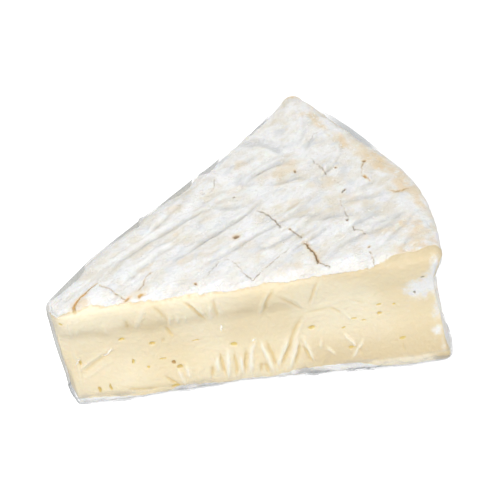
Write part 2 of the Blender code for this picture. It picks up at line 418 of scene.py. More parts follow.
# Cut faces: the rind's lip hangs over a groove, and the paste runs out to a foot, as in the part
LIP_HEIGHT = 34 * MM
LIP_REACH = 7 * MM
LIP_BULGE = 0.8 * MM
GROOVE_HEIGHT = 28.4 * MM
GROOVE_WANDER = 0.5 * MM
GROOVE_WAVE = 6 * MM
GROOVE_DEPTH = 0.85 * MM
GROOVE_RAISED = -0.8 * MM  # the groove's upper side rounds off lower down than in the part,
GROOVE_STEP = 3.1 * MM  # more softly,
SCALLOP_HEIGHT = 0.35 * MM  # and in uneven scallops
SCALLOP_WAVES = (2.9 * MM, 4.7 * MM, 1.7 * MM)
LIP_UNEVEN = 0.12
LIP_BARE = 0.4  # how much of the lip is left where no groove lies under it
GROOVE_FADES = (58 * MM, 76 * MM)
GROOVE_RUNS_OUT = (7 * MM, 24 * MM)
FACE_WAIST = (27 * MM, 16 * MM)
FACE_WAIST_DEPTH = 0.7 * MM
FOOT_HEIGHT = 20 * MM
FOOT_CURVE = 1.4
FOOT_ALONG = (0, 16 * MM, 50 * MM, 95 * MM)
FOOT_FLARE = (0.6 * MM, 1.9 * MM, 1.1 * MM, 4.1 * MM)
FAR_GROOVE_LOWER = 1.5 * MM
FAR_GROOVE_LONGER = 18 * MM
FAR_EDGE_ALONG = (0, 20 * MM, 45 * MM, 62 * MM, 76 * MM, 90 * MM, 100 * MM, CUT_LENGTH)
FAR_EDGE_OUT = (0, 1.8 * MM, 1.0 * MM, 0, -0.8 * MM, -1.0 * MM, 0.2 * MM, 1.2 * MM)
FAR_EDGE_FROM = 16 * MM


def cut_face_relief(along, height, groove_height, groove_until):
    """How far a cut face stands out of its plane: lip, groove and foot."""
    grooved = 1 - ramp(GROOVE_FADES[0] + groove_until, GROOVE_FADES[1] + groove_until, along)
    scallop = sum(np.sin(along / wave + number) for number, wave in enumerate(SCALLOP_WAVES))
    lip = LIP_BULGE * bell(height, LIP_HEIGHT, LIP_REACH)
    lip *= between(LIP_BARE, 1, grooved) + LIP_UNEVEN * scallop
    step = groove_height + GROOVE_RAISED + GROOVE_WANDER * np.sin(along / GROOVE_WAVE)
    step += SCALLOP_HEIGHT * scallop
    under = ramp(step + GROOVE_STEP, step - GROOVE_STEP, height)
    groove = -GROOVE_DEPTH * under * ramp(*GROOVE_RUNS_OUT, height) * grooved
    waist = -FACE_WAIST_DEPTH * bell(height, *FACE_WAIST) * (1 - grooved)
    flare = np.interp(along, FOOT_ALONG, FOOT_FLARE)
    foot = flare * ramp(FOOT_HEIGHT, EDGES["Rise"][0], height) ** FOOT_CURVE
    return lip + groove + waist + foot


# Rim, as in the part: pinched in below its upper edge near the near cut, a little full elsewhere
RIM_WAIST_DEPTH = 2.8 * MM
RIM_PINCH = ((0, 0), (28, 1), (34, 0.33), (40, 0))  # the film spans from the waist to the edge above
RIM_FULLNESS = 1.2 * MM
RIM_FULL_AT = (0.45 * WHEEL_HEIGHT, 0.5 * WHEEL_HEIGHT)
SHOULDER = (math.radians(-8), math.radians(14))
SHOULDER_BULGE = 2.0 * MM
SHOULDER_RISE = (0.3 * WHEEL_HEIGHT, 0.8 * WHEEL_HEIGHT)
NEAR_FOOT = (math.radians(-12), math.radians(-19))
NEAR_FOOT_HEIGHT = (8.5 * MM, 2.5 * MM)
NEAR_FOOT_OUT = 0.9 * MM
TIP_BULGE = 0.3 * MM
TIP_BULGE_AT = (22 * MM, 14 * MM)
TIP_DRAWN_IN = 0.4 * MM


def rim_relief(angle, height):
    """How far the rim stands out of its cylinder."""
    by_near_cut = ramp(0, -HALF_ANGLE, angle)
    pinch = RIM_WAIST_DEPTH * trace(height, RIM_PINCH, SHARES) * by_near_cut
    full = RIM_FULLNESS * bell(height, *RIM_FULL_AT) * (1 - by_near_cut)
    shoulder = SHOULDER_BULGE * bell(angle, *SHOULDER) * ramp(*SHOULDER_RISE, height)
    foot = NEAR_FOOT_OUT * ramp(*NEAR_FOOT, angle) * ramp(*NEAR_FOOT_HEIGHT, height)
    return full - pinch + shoulder + foot


# Pleats of the foot, fainter than in the part: the creases below stand in front of them
PLEAT_COUNT = 13
PLEAT_PITCH = 2.7 * MM
FIRST_PLEAT = 36.5 * MM
PLEAT_RISE = (12 * MM, 5.6 * MM)  # how high they reach, and by how much that varies,
PLEAT_BEAT = 2.1  # in radians from one to the next
PLEAT_FADES_FROM = 0.2  # of its rise
PLEAT_HEIGHT = 0.3 * MM
PLEAT_HALF_WIDTH = 1.5 * MM
PLEAT_LEAN = (0.1, 0.55)
PLEAT_LEAN_LATER = 1.5
PLEAT_FADES_BELOW = 4.5 * MM


def pleats(along, height):
    """The film's pleats, leaning more and more towards the rim."""
    total = np.zeros_like(along)
    for number in range(PLEAT_COUNT):
        share = number / (PLEAT_COUNT - 1)
        lean = between(*PLEAT_LEAN, share**PLEAT_LEAN_LATER)
        centre = FIRST_PLEAT + number * PLEAT_PITCH + lean * height
        rise = PLEAT_RISE[0] + PLEAT_RISE[1] * math.sin(PLEAT_BEAT * number + 1)
        taper = ramp(rise, PLEAT_FADES_FROM * rise, height) * ramp(0, PLEAT_FADES_BELOW, height)
        total = np.maximum(total, bell(along, centre, PLEAT_HALF_WIDTH) * taper)
    return PLEAT_HEIGHT * total


def wrapped_shape(blank):
    """The wedge's points with the relief that the cheese and its film share."""
    near = cut_face_relief(blank.along, blank.height, GROOVE_HEIGHT, 0) + pleats(*blank.side.T)
    far = cut_face_relief(blank.along, blank.height, GROOVE_HEIGHT - FAR_GROOVE_LOWER, FAR_GROOVE_LONGER)
    wave = np.interp(blank.along, FAR_EDGE_ALONG, FAR_EDGE_OUT)
    far += wave * ramp(FAR_EDGE_FROM, WHEEL_HEIGHT, blank.height)
    near, far = blank.faces["near"] * near, blank.faces["far"] * far
    rim = blank.faces["rim"] * rim_relief(blank.angle, blank.height)
    rim -= blank.faces["tip"] * (TIP_BULGE * bell(blank.height, *TIP_BULGE_AT) - TIP_DRAWN_IN)
    up = blank.faces["up"] * upper_rind_relief(blank.x, blank.y, blank.radius)
    shift_x = rim * np.cos(blank.angle) - math.sin(HALF_ANGLE) * (near + far)
    shift_y = rim * np.sin(blank.angle) + math.cos(HALF_ANGLE) * (far - near)
    return blank.points + np.stack([shift_x, shift_y, up], axis=1)


# Creases of the near face, which the film presses into the paste: along the cut and up, in mm.
# A ridge stands out and a furrow is pressed in.


class Crease(NamedTuple):
    half_width: float
    height: float
    route: list


NEAR_CREASES = [
    # over the lip and the groove
    Crease(1.26, 0.49, [(26.5, 36.8), (24, 31.3), (22.5, 26.8)]),
    Crease(0.81, -0.30, [(20.8, 32.8), (20.6, 27.3)]),
    Crease(0.81, -0.25, [(28.5, 36.8), (31, 32.3), (32, 29.3)]),
    Crease(0.72, 0.42, [(32.8, 32.8), (32.3, 26.3)]),
    Crease(0.63, 0.32, [(34.8, 31.3), (34.4, 26.3)]),
    Crease(0.63, 0.27, [(36.8, 30.3), (36.6, 26.3)]),
    Crease(0.81, -0.50, [(37, 36.6), (39.3, 33.3), (40.8, 29.8), (42, 26.3)]),
    Crease(0.72, 0.37, [(38.2, 36.6), (41, 32.3), (42.8, 28.3)]),
    Crease(0.72, 0.49, [(43.8, 34.3), (43.6, 25.8)]),
    Crease(0.72, -0.25, [(45.3, 36.3), (45.2, 26.3)]),
    Crease(0.63, 0.27, [(46.5, 34.8), (46.3, 27.3)]),
    Crease(0.81, 0.22, [(57.5, 30.8), (57, 25.8)]),
    Crease(0.72, -0.37, [(62, 36.6), (60, 32.8), (58.7, 29.3), (58, 25.3)]),
    Crease(0.81, 0.39, [(60.8, 36.8), (58.8, 32.8), (57.6, 28.3), (56.8, 24.3)]),
    Crease(0.63, 0.25, [(4.8, 35.3), (5, 30.3), (4.8, 26.3)]),
    Crease(0.63, 0.22, [(7.3, 32.3), (6, 27.3)]),
    Crease(0.63, 0.19, [(14.8, 32.3), (14.6, 26.3)]),
    # the star where the film was pulled together
    Crease(0.61, -0.24, [(62.3, 33.8), (66, 28.3), (69.2, 24.3)]),
    Crease(0.54, 0.20, [(63, 34.8), (67, 29.8), (69.8, 24.9)]),
    Crease(0.61, -0.29, [(73.8, 36.6), (71.8, 30.3), (70.3, 25.8)]),
    Crease(0.61, 0.24, [(74.6, 36.3), (72.5, 30.3), (71.2, 25.8)]),
    Crease(0.61, -0.20, [(69.8, 23.8), (73, 24.2), (76.5, 24.6)]),
    Crease(0.54, 0.17, [(71, 25.1), (76, 25.6), (80, 26.8), (84, 26.3)]),
    Crease(0.61, -0.27, [(76, 24.7), (78, 23.1), (79.5, 21.6)]),
    Crease(0.54, 0.17, [(77.2, 24.7), (80.6, 20.8), (82, 17.3)]),
    Crease(0.54, -0.12, [(83, 26.3), (84.5, 24.8), (86, 24.3)]),
    Crease(0.77, -0.35, [(69, 23.8), (66.5, 19.3), (63.5, 12.3), (60.5, 5.3)]),
    Crease(0.69, 0.29, [(70, 23.3), (67.6, 18.8), (65, 12.8), (62.5, 7.3)]),
    # over the foot
    Crease(0.91, 0.67, [(46.5, 14.8), (45.8, 8.3), (45.3, 3.3)]),
    Crease(0.72, -0.52, [(44, 13.8), (44.3, 7.8), (45, 4.3)]),
    Crease(0.81, 0.46, [(43, 12.3), (42.8, 6.3)]),
    Crease(0.72, -0.52, [(41.5, 9.3), (40.8, 4.8)]),
    Crease(0.72, -0.46, [(48.2, 13.3), (48, 7.3), (47.5, 3.3)]),
    Crease(0.71, 0.46, [(49.7, 11.3), (49.5, 4.3)]),
    Crease(0.72, -0.56, [(51.5, 13.8), (50.8, 8.8), (50.2, 3.8)]),
    Crease(0.91, 0.79, [(54.5, 16.6), (52.6, 11.3), (52.2, 6.3), (51.8, 3.3)]),
    Crease(0.72, -0.41, [(55.2, 8.3), (54.5, 4.3)]),
    Crease(0.91, 0.67, [(55.8, 16.3), (57, 10.3), (58, 5.3), (58.2, 3.3)]),
    Crease(0.63, -0.52, [(57.5, 15.3), (59, 8.3), (60, 4.3)]),
    Crease(0.72, -0.52, [(56.2, 7.8), (56.8, 3.8)]),
    Crease(0.91, 0.59, [(64, 15.8), (61, 9.8), (59, 4.3)]),
    Crease(0.72, -0.46, [(65, 14.8), (62.5, 9.3), (60.7, 5.3)]),
    Crease(0.81, 0.53, [(66.8, 15.3), (64.5, 9.3), (62.8, 4.8)]),
    Crease(0.72, -0.36, [(66.8, 13.8), (65.8, 9.3), (64.5, 5.3)]),
    Crease(0.81, 0.67, [(67.8, 15.3), (69.3, 9.3), (70.2, 6.3)]),
    Crease(0.72, -0.46, [(67.5, 11.8), (69, 7.8), (69.8, 6.1)]),
    Crease(0.71, 0.33, [(73, 13.8), (72, 10.3)]),
    Crease(0.71, 0.39, [(74, 10.8), (76.5, 7.8)]),
    Crease(0.71, 0.46, [(79, 14.8), (81.5, 11.3), (82, 9.1)]),
    Crease(0.63, -0.36, [(79.8, 9.6), (82.5, 9.5)]),
    Crease(0.71, 0.46, [(85, 12.3), (82.5, 8.8), (80.5, 5.8)]),
    Crease(0.63, -0.36, [(83, 9.3), (83.5, 6.8)]),
    Crease(0.54, -0.26, [(95.3, 9.3), (95.6, 5.3)]),
    Crease(0.91, 0.67, [(31.5, 10.3), (32.5, 5.3), (33, 3.3)]),
    Crease(0.91, 0.46, [(34, 11.3), (34.5, 5.3)]),
    Crease(0.72, -0.61, [(27.5, 7.8), (31, 4.1)]),
    Crease(0.72, -0.30, [(15, 6.3), (20, 4.6), (26, 4.3)]),
    # low by the tip, where the film slants off to the point, and beside it
    Crease(0.72, -0.54, [(30.5, 26.3), (31.5, 23.8), (32.2, 21.1)]),
    Crease(0.54, -0.30, [(29.5, 21.8), (28.8, 20.1)]),
    Crease(0.63, 0.35, [(3, 13.8), (9, 17.6), (15, 21.6)]),
    Crease(0.63, -0.30, [(3.5, 12.3), (9.5, 16.1), (16, 20.3)]),
    Crease(0.54, 0.24, [(4, 10.3), (10, 13.8), (16, 17.3)]),
    Crease(0.63, 0.24, [(4.2, 24.3), (3.8, 13.3), (3, 5.3)]),
]

# Creases of the upper side, on the plan and in mm: the film's own, the soft ridges that the rack
# left, and the valleys among them: tan ones where the down is stained, and grey ones whose grey is painted
# shade
UPPER_CREASES = [
    Crease(0.7, 0.30, [(43.5, 37), (43.3, 16), (43.6, -1)]),
    Crease(0.7, 0.25, [(20, 31), (24, 29), (27, 25), (28.5, 20.5)]),
]
RIDGES = [
    Crease(1.30, 0.88, [(-39.6, 1.3), (-29.6, 6.3), (-19.6, 8.9), (-9.6, 10.6), (0.4, 11.3), (7.4, 13.8)]),
    Crease(1.30, 0.88, [(-24.6, -4.7), (-14.6, -2), (-4.6, 0.5), (5.4, 2.5), (12.4, 4.6), (20.4, 4.9)]),
    Crease(1.3, 0.75, [(-13.6, -9.2), (-4.6, -7.7), (5.4, -6.5), (15.4, -5.7), (22.4, -3.3), (30.4, -0.2)]),
    Crease(1.25, 0.75, [(-19.6, 11.8), (-12.6, 14.1), (-7.6, 16.8), (-3.6, 20.3)]),
    Crease(1.30, 0.81, [(8.4, 11.3), (13.4, 14.6), (20.4, 17.1), (27.4, 17.3), (29.9, 13.3)]),
    Crease(1.20, 0.75, [(21.4, 33.5), (26.4, 30.5), (29.6, 26.5), (31, 21)]),
    Crease(1.15, 0.69, [(-37.6, -3.7), (-29.6, -1.2), (-21.6, 1.8), (-11.6, 4.3)]),
    Crease(1.15, 0.69, [(1.4, -12.7), (10.4, -12.2), (18.4, -10.7), (25.4, -7.7)]),
    Crease(1.15, 0.69, [(8.4, -19.7), (13.4, -16.9), (20.4, -16.1), (28.4, -12.7)]),
    Crease(1.10, 0.75, [(16.4, -26.7), (22.4, -24.2), (29.4, -22.7), (38.4, -23.7), (46.4, -20.7)]),
    Crease(1.05, 0.75, [(30.4, -30.2), (37.4, -27.7), (44.4, -24.7), (48.4, -22.2)]),
    Crease(0.95, 0.75, [(33.4, -35.7), (38.4, -32), (46.4, -29.2)]),
    Crease(1.00, 0.62, [(31.4, 3.8), (37.4, 6.8), (42.4, 10.3), (46.4, 16.3)]),
    Crease(1.00, 0.56, [(33.4, 20.3), (38.4, 25.3), (41.4, 31.3), (42.4, 38.3)]),
]
TAN_VALLEYS = [
    Crease(1.1, -0.45, [(36.9, -28.7), (39.4, -27), (42.4, -25.5), (46.4, -24.7)]),
    Crease(0.9, -0.40, [(39.4, -34), (43.4, -32.5), (47.4, -30.7), (50.4, -29.2)]),
    Crease(0.9, -0.35, [(34.9, -37.2), (36.4, -35.7), (38.4, -36), (41.4, -36.7)]),
    Crease(0.8, -0.30, [(42.9, -36.7), (46.4, -35.2), (48.4, -33.2)]),
    Crease(0.8, -0.30, [(45.4, -13.7), (47.4, -14.3), (49.9, -15.2)]),
    Crease(1.0, -0.35, [(47.4, 3.3), (50.4, -0.7), (52.4, -5.7)]),
    Crease(0.9, -0.30, [(43.9, 22.3), (44.1, 15.3), (44.3, 9.3), (44.5, 4.3)]),
    Crease(0.9, -0.30, [(41.4, 31.3), (42.9, 29.8), (44.9, 29.3)]),
    Crease(0.8, -0.25, [(-26.6, -2.7), (-24.6, -1.9), (-22.6, -0.5)]),
]
# grey valleys: their relief, and a mask for the painted shade in them
GREY_VALLEYS = [
    Crease(2.5, -0.85, [(17.4, 31.5), (21.8, 30.3), (25.4, 27.3), (27.8, 22.8), (28.8, 17.3)]),
    Crease(1.6, -0.52, [(13.4, 14.9), (18.4, 15.6), (23.4, 16), (27.4, 15), (30.4, 11.8)]),
    Crease(1.6, -0.45, [(11.2, 16.6), (12.9, 13.2), (16.2, 11.2)]),
    Crease(1.5, -0.45, [(0.1, 10.6), (1.6, 8.3), (4.6, 6.6), (9.4, 5.6)]),
    Crease(1.4, -0.45, [(15.6, 10.2), (20.6, 8.8), (26.4, 7), (31.2, 3.8)]),
    Crease(1.5, -0.52, [(31.4, -24.4), (36.4, -23.2), (40.4, -23.3), (45.4, -22.7)]),
    Crease(1.6, -0.45, [(30.4, -8.4), (35.6, -10.8), (40.2, -12.4), (44.8, -13.4)]),
    Crease(1.8, -0.52, [(21.4, -11.2), (27.4, -12.8), (33.4, -15.2), (40.4, -16.8)]),
    Crease(1.4, -0.39, [(38.4, -9.2), (41.4, -7.6), (45.4, -6.9)]),
    Crease(1.5, -0.45, [(29.4, -19.5), (34.4, -18.7), (40.4, -19.4)]),
    Crease(1.2, -0.39, [(35.4, 3.3), (37.9, 7.3), (40.4, 10.3)]),
    Crease(1.2, -0.39, [(34.4, 15.2), (37.2, 18.2), (41.4, 20.4)]),
    Crease(1.3, -0.39, [(9.4, 21.3), (13.4, 22.8), (17.4, 21.6), (21.4, 23.3)]),
    Crease(1.3, -0.39, [(-7.6, 3.3), (-4.6, 6.3), (-0.6, 7.3)]),
    Crease(1.5, -0.45, [(17.4, -7.2), (21.4, -9.2), (26.4, -10.2)]),
    Crease(1.2, -0.33, [(2.4, -11.7), (6.4, -14.2), (9.4, -13.2)]),
    Crease(1.3, -0.39, [(-14.6, 0.6), (-6.6, -1.2), (2.4, -0.4), (9.4, 1.8)]),
]
CREASE_ENDS = 0.3  # a crease tapers off over this share of its length at both ends,
NARROW_END = 0.5  # to this share of its width
FAINT_END = 0.15  # and this share of its height
FULL_CREASE = 0.45  # in mm: from this height on a crease counts in full in its mask
CREASE_RAGGED = 0.30 * MM
CREASE_LUMPS = 2.6 * MM
STREWN_FROM_FOOT = 3  # in mm, as all of a strewn crease's sizes
STREWN_LENGTH = (4, 15)
STREWN_SLANT = 0.45
STREWN_BEND = 0.12
STREWN_HEIGHT = (0.25, 0.6)
STREWN_HALF_WIDTH = (0.6, 1.0)
RIDGE_RAGGED = 0.7 * MM
RIDGE_LUMPS = 4.5 * MM
RIDGE_LEE = 1.3 * MM  # a ridge's foot is pressed in, this far to its -Y side
RIDGE_LEE_SHARE = 0.5
# painted shade, grey in the lee of each ridge
RIDGE_LEE_GREY = 0.8


def creases(flat_points, strokes):
    """The relief of a list of creases, and masks of the ridges and of the furrows among them."""
    relief, ridges, furrows = np.zeros((3, len(flat_points)))
    for stroke in strokes:
        away, place = follow(flat_points, stroke.route)
        taper = ramp(0, CREASE_ENDS, place) * ramp(1, 1 - CREASE_ENDS, place)
        close = bell(away, 0, stroke.half_width * MM * between(NARROW_END, 1, taper))
        close *= between(FAINT_END, 1, taper)
        relief += stroke.height * MM * close
        mask = ridges if stroke.height > 0 else furrows
        np.maximum(mask, close * min(1, abs(stroke.height) / FULL_CREASE), out=mask)
    return relief, ridges, furrows


def strewn_creases(seed, count, first, last, top):
    """Creases as above for the faces behind: strewn along a face, short and long ones mixed."""
    random = np.random.default_rng(seed)
    strokes = []
    for _ in range(count):
        start = np.array([random.uniform(first, last), random.uniform(STREWN_FROM_FOOT, top)])
        reach = random.uniform(*STREWN_LENGTH)
        way = reach * np.array([random.normal(0, STREWN_SLANT), random.choice([-1, 1])])
        bend = random.uniform(-STREWN_BEND, STREWN_BEND) * way[::-1]
        height = random.uniform(*STREWN_HEIGHT) * random.choice([-1, 1])
        route = [start, start + way / 2 + bend, start + way]
        strokes.append(Crease(random.uniform(*STREWN_HALF_WIDTH), height, route))
    return strokes


FAR_CREASES = strewn_creases(21, 34, 8, 102, 34)
RIM_CREASES = strewn_creases(22, 22, -42, 42, 30)


def hidden_creases(blank):
    """The creases on the far face and round the rim: relief, ridges and furrows."""
    ragged = CREASE_RAGGED * wobble(blank.points, CREASE_LUMPS, 36)
    round_rim = np.stack([blank.angle * WHEEL_RADIUS, blank.height], axis=1)
    far = [blank.faces["far"] * part for part in creases(blank.side + ragged, FAR_CREASES)]
    rim = [blank.faces["rim"] * part for part in creases(round_rim + ragged, RIM_CREASES)]
    return [one + other for one, other in zip(far, rim)]


def near_creases(blank):
    return creases(blank.side + CREASE_RAGGED * wobble(blank.points, CREASE_LUMPS, 35), NEAR_CREASES)


def soft_ridges(blank):
    """The rack's soft ridges and valleys: the relief, and masks of the crests, of the tan valleys and of
    the painted shade in the grey valleys and the lee of each ridge.

    Each ridge has a crest and, on its -Y side, a foot that is pressed in."""
    plan = blank.top + RIDGE_RAGGED * wobble(blank.points, RIDGE_LUMPS, 14)
    crest, on_crest, _ = creases(plan, RIDGES)
    foot, in_lee, _ = creases(plan + (0, RIDGE_LEE), RIDGES)
    tan_relief, _, tan = creases(plan, TAN_VALLEYS)
    grey_relief, _, grey = creases(plan, GREY_VALLEYS)
    relief = crest - RIDGE_LEE_SHARE * foot + tan_relief + grey_relief
    return relief, on_crest, tan, np.maximum(grey, RIDGE_LEE_GREY * in_lee * (1 - on_crest))


# Cracks in the upper rind, on the plan and in mm, and small holes. brown is how rusty they are.


class Crack(NamedTuple):
    half_width: float
    depth: float
    brown: float
    route: list


CRACKS = [
    Crack(0.33, 0.8, 0.15, [(10.4, 0.7), (12, -1.1), (13, -4.7), (13, -7.7), (12.6, -9.5)]),
    Crack(0.33, 0.8, 0.30, [(14.2, -11.2), (15.4, -12.7), (15.9, -16)]),
    Crack(0.54, 1.0, 0.70, [(15.4, -18.3), (15.3, -20.7), (15.7, -23.9), (15, -26.7)]),
    Crack(0.30, 0.7, 0.35, [(15, -26.7), (15.4, -28.3), (16.6, -30.1)]),
    Crack(0.18, 0.5, 0.15, [(34.2, 10.8), (34.4, 7.3)]),
    Crack(0.28, 0.6, 0.15, [(34.4, 7.3), (34.6, 4.8), (34.4, 3.6)]),
    Crack(0.13, 0.3, 0.10, [(34.4, 3.3), (34.9, 0.3), (35.4, -3.2)]),
    Crack(0.42, 0.8, 0.20, [(35.9, -5.4), (34.4, -6.1)]),
    Crack(0.15, 0.5, 0.20, [(33.4, -6.2), (32.7, -7.7), (31.7, -10.7), (31.2, -13.7), (30, -16.7)]),
    Crack(0.32, 0.7, 0.10, [(29.9, -19.2), (29.8, -21.2), (30.8, -24.7)]),
    Crack(0.22, 0.5, 0.75, [(46.4, 2.1), (44.9, 0.8), (43.9, -0.2)]),
    Crack(0.12, 0.3, 0.45, [(43.9, -0.2), (42.4, -3.7)]),
    Crack(0.22, 0.4, 0.85, [(42.4, -4.2), (43.2, -5.2), (43.4, -6.2)]),
    Crack(0.28, 0.4, 0.80, [(45.9, -13.6), (47.9, -14.2), (49.9, -14.7)]),
    Crack(0.36, 0.5, 0.85, [(-40.1, 0.3), (-42.1, -0.4), (-44.6, -1.1)]),
    Crack(0.60, 0.6, 1.00, [(-43.6, -0.9), (-45.4, -1.5), (-47.1, -2.5)]),
    Crack(0.85, 0.7, 1.00, [(-46.6, -2.1), (-47.8, -2.9), (-48.4, -4.2), (-48.6, -6.7)]),
    Crack(0.25, 0.5, 0.45, [(-39.1, -0.9), (-37.6, -3.7), (-36.1, -7.2), (-35.3, -9)]),
    Crack(0.25, 0.5, 0.55, [(-25.1, -4.5), (-27.6, -5.7), (-29.1, -7.7), (-30.6, -8.7)]),
    Crack(0.20, 0.4, 0.10, [(-5.6, -11.2), (-4.6, -14.2), (-3.9, -17.7), (-2.9, -22.7)]),
    Crack(0.22, 0.5, 0.20, [(-2.9, -22.7), (0.4, -21.5), (4.4, -19.7), (8.4, -18.2), (10.9, -17.9)]),
    Crack(0.18, 0.4, 0.05, [(6.4, 19.6), (4.9, 17.3), (2.4, 15.8), (0.4, 16.6)]),
    Crack(0.22, 0.5, 0.30, [(28.6, -30.7), (27.9, -33.7), (27.4, -35.7)]),
    Crack(0.18, 0.4, 0.05, [(-13.6, -14.7), (-10.6, -13.2), (-7.6, -11.2)]),
    Crack(0.17, 0.3, 0.10, [(37.4, 19.3), (39.9, 20.8), (43.4, 21.3)]),
    Crack(0.17, 0.3, 0.35, [(41.4, 30.9), (44, 30.1)]),
]


class Pit(NamedTuple):
    at: tuple
    size: tuple
    depth: float
    brown: float


RIND_PITS = [
    Pit((0.8, -5.5), (1.15, 0.75), 0.9, 0.55),
    Pit((27.7, 10.1), (0.35, 0.6), 0.8, 0.50),
    Pit((38.1, 4.3), (0.5, 0.5), 0.4, 0.45),
    Pit((7.6, 9.5), (0.45, 0.35), 0.3, 0.10),
    Pit((46.2, 1.9), (0.6, 0.5), 0.5, 0.60),
    Pit((42.9, -4.4), (0.45, 0.8), 0.4, 0.90),
    Pit((29.9, -16.7), (0.55, 0.45), 0.6, 0.10),
    Pit((14.6, -11.3), (0.45, 0.4), 0.4, 0.50),
    Pit((-16.8, -15.3), (0.45, 0.55), 0.5, 0.70),
    Pit((29.4, -29.2), (0.45, 0.4), 0.4, 0.60),
    Pit((-34.9, -9.4), (0.9, 0.35), 0.4, 1.0),
    Pit((-31.1, -10.6), (0.9, 0.35), 0.4, 1.0),
]

# Eyes in the near face's paste, along the cut and up
PASTE_EYES = [
    Pit((26.0, 20.1), (1.0, 0.7), 0.8, 0.60),
    Pit((48.3, 15.6), (1.1, 0.7), 0.8, 0.50),
    Pit((30.8, 12.4), (0.65, 0.65), 0.9, 0.90),
    Pit((32.3, 10.6), (1.0, 0.6), 0.5, 0.70),
    Pit((70.6, 17.8), (1.2, 0.7), 0.7, 0.50),
    Pit((89.8, 19.6), (0.7, 0.6), 0.6, 0.55),
    Pit((19.6, 14.6), (0.5, 0.85), 0.6, 0.55),
    Pit((4.8, 16.8), (0.5, 1.0), 0.6, 0.55),
    Pit((18.0, 23.6), (0.9, 0.6), 0.6, 0.55),
    Pit((95.5, 10.6), (0.9, 0.4), 0.4, 0.40),
    Pit((81.0, 9.5), (0.9, 0.4), 0.4, 0.40),
    Pit((28.0, 14.2), (1.3, 0.3), 0.4, 0.40),
    Pit((38.0, 19.1), (1.4, 0.3), 0.3, 0.30),
    Pit((89.8, 22.9), (0.9, 0.4), 0.3, 0.30),
    Pit((94.0, 22.3), (0.7, 0.4), 0.3, 0.30),
    Pit((82.5, 19.0), (0.9, 0.3), 0.3, 0.30),
    Pit((85.2, 17.9), (0.7, 0.3), 0.3, 0.25),
    Pit((23.5, 12.1), (0.5, 0.5), 0.3, 0.25),
    Pit((79.3, 16.3), (0.8, 0.4), 0.3, 0.25),
    Pit((8.6, 6.3), (0.5, 1.2), 0.5, 0.60),
    Pit((11.8, 6.8), (0.45, 1.4), 0.5, 0.60),
    Pit((30.0, 3.9), (1.7, 0.5), 0.4, 0.60),
    Pit((2.6, 34.4), (0.8, 0.45), 0.3, 0.55),
    Pit((99.9, 25.6), (0.45, 0.6), 0.4, 0.00),
    Pit((102.3, 31.2), (0.6, 0.35), 0.3, 0.00),
]


def strewn_eyes(seed, count):
    """Eyes for the far face, like the near one's."""
    random = np.random.default_rng(seed)
    spots = []
    for _ in range(count):
        at = (random.uniform(4, 102), random.uniform(6, 26))
        size = (random.uniform(0.5, 1.2), random.uniform(0.35, 0.8))
        spots.append(Pit(at, size, random.uniform(0.3, 0.9), random.uniform(0.3, 0.8)))
    return spots


FAR_EYES = strewn_eyes(23, 22)
SHALLOWER = 0.7  # the film keeps cracks and pits this much shallower
PIT_RAGGED = 0.30 * MM
PIT_REACH = 1.3  # in its own size
PIT_DARK = (1.15, 0.55)
PIT_BROWN = (2.2, 0.9)
CRACK_RAGGED = (0.45 * MM, 0.28 * MM)
CRACK_LIP = 0.10 * MM
CRACK_NARROWER = 0.85
CRACK_ABOUT = 3.0  # in its own width
CRACK_DARK = (0.05, 0.75)
WIDE_CRACK = 0.36  # in mm: a crack as wide as this is dark and has no breaks
CRACK_BROKEN = (-0.6, 0.0)  # noise below the first value closes a narrow crack


def pit_masks(blank, flat, pits):
    """The depth of a list of pits, how dark each point is, and how brown."""
    flat_points = flat + PIT_RAGGED * wobble(blank.points, 1.3 * MM, 15)
    depth, dark, brown = np.zeros((3, len(flat_points)))
    for pit in pits:
        away = (flat_points - np.array(pit.at) * MM) / (np.array(pit.size) * MM)
        reach = np.hypot(away[:, 0], away[:, 1])
        depth = np.maximum(depth, SHALLOWER * pit.depth * MM * bell(reach, 0, PIT_REACH))
        dark = np.maximum(dark, ramp(*PIT_DARK, reach))
        brown = np.maximum(brown, pit.brown * ramp(*PIT_BROWN, reach))
    return np.stack([depth, dark, brown])


def crack_masks(blank):
    """The same for the cracks, with a ragged route and a lip on both sides."""
    flat = blank.top + CRACK_RAGGED[0] * wobble(blank.points, 2.3 * MM, 3)
    flat += CRACK_RAGGED[1] * wobble(blank.points, 0.8 * MM, 33)
    depth, dark, brown = np.zeros((3, len(flat)))
    open_here = ramp(*CRACK_BROKEN, lumps(blank.points, 2.1 * MM, 34))
    for crack in CRACKS:
        width = CRACK_NARROWER * crack.half_width * MM
        wide = min(1, crack.half_width / WIDE_CRACK)
        core = nearness(flat, crack.route, width) * np.maximum(open_here, wide**4)
        about = nearness(flat, crack.route, CRACK_ABOUT * width)
        depth = np.maximum(depth, SHALLOWER * crack.depth * MM * core - CRACK_LIP * (about - core))
        dark = np.maximum(dark, wide**0.7 * ramp(*CRACK_DARK, core))
        brown = np.maximum(brown, crack.brown * about)
    return depth, dark, brown


HALF_TURNED = 0.5  # a point that faces a side more than this belongs to it
FINE_FROM_TIP = 1.5 * MM
FINE_AROUND = 2.0 * MM


def on_near_face(blank):
    return (blank.facing[:, 1] < -HALF_TURNED) & (blank.along > FINE_FROM_TIP)


def by_details(blank):
    """Which points lie so close to a crack, a pit or an eye that they need finer cells."""
    close = np.zeros(len(blank.points), dtype=bool)
    upward, nearward = blank.facing[:, 2] > HALF_TURNED, blank.facing[:, 1] < -HALF_TURNED
    for crack in CRACKS:
        close |= upward & (nearness(blank.top, crack.route, FINE_AROUND) > 0)
    for pits, flat, side in ((RIND_PITS, blank.top, upward), (PASTE_EYES, blank.side, nearward)):
        for pit in pits:
            away = flat - np.array(pit.at) * MM
            close |= side & (np.hypot(away[:, 0], away[:, 1]) < FINE_AROUND)
    return close


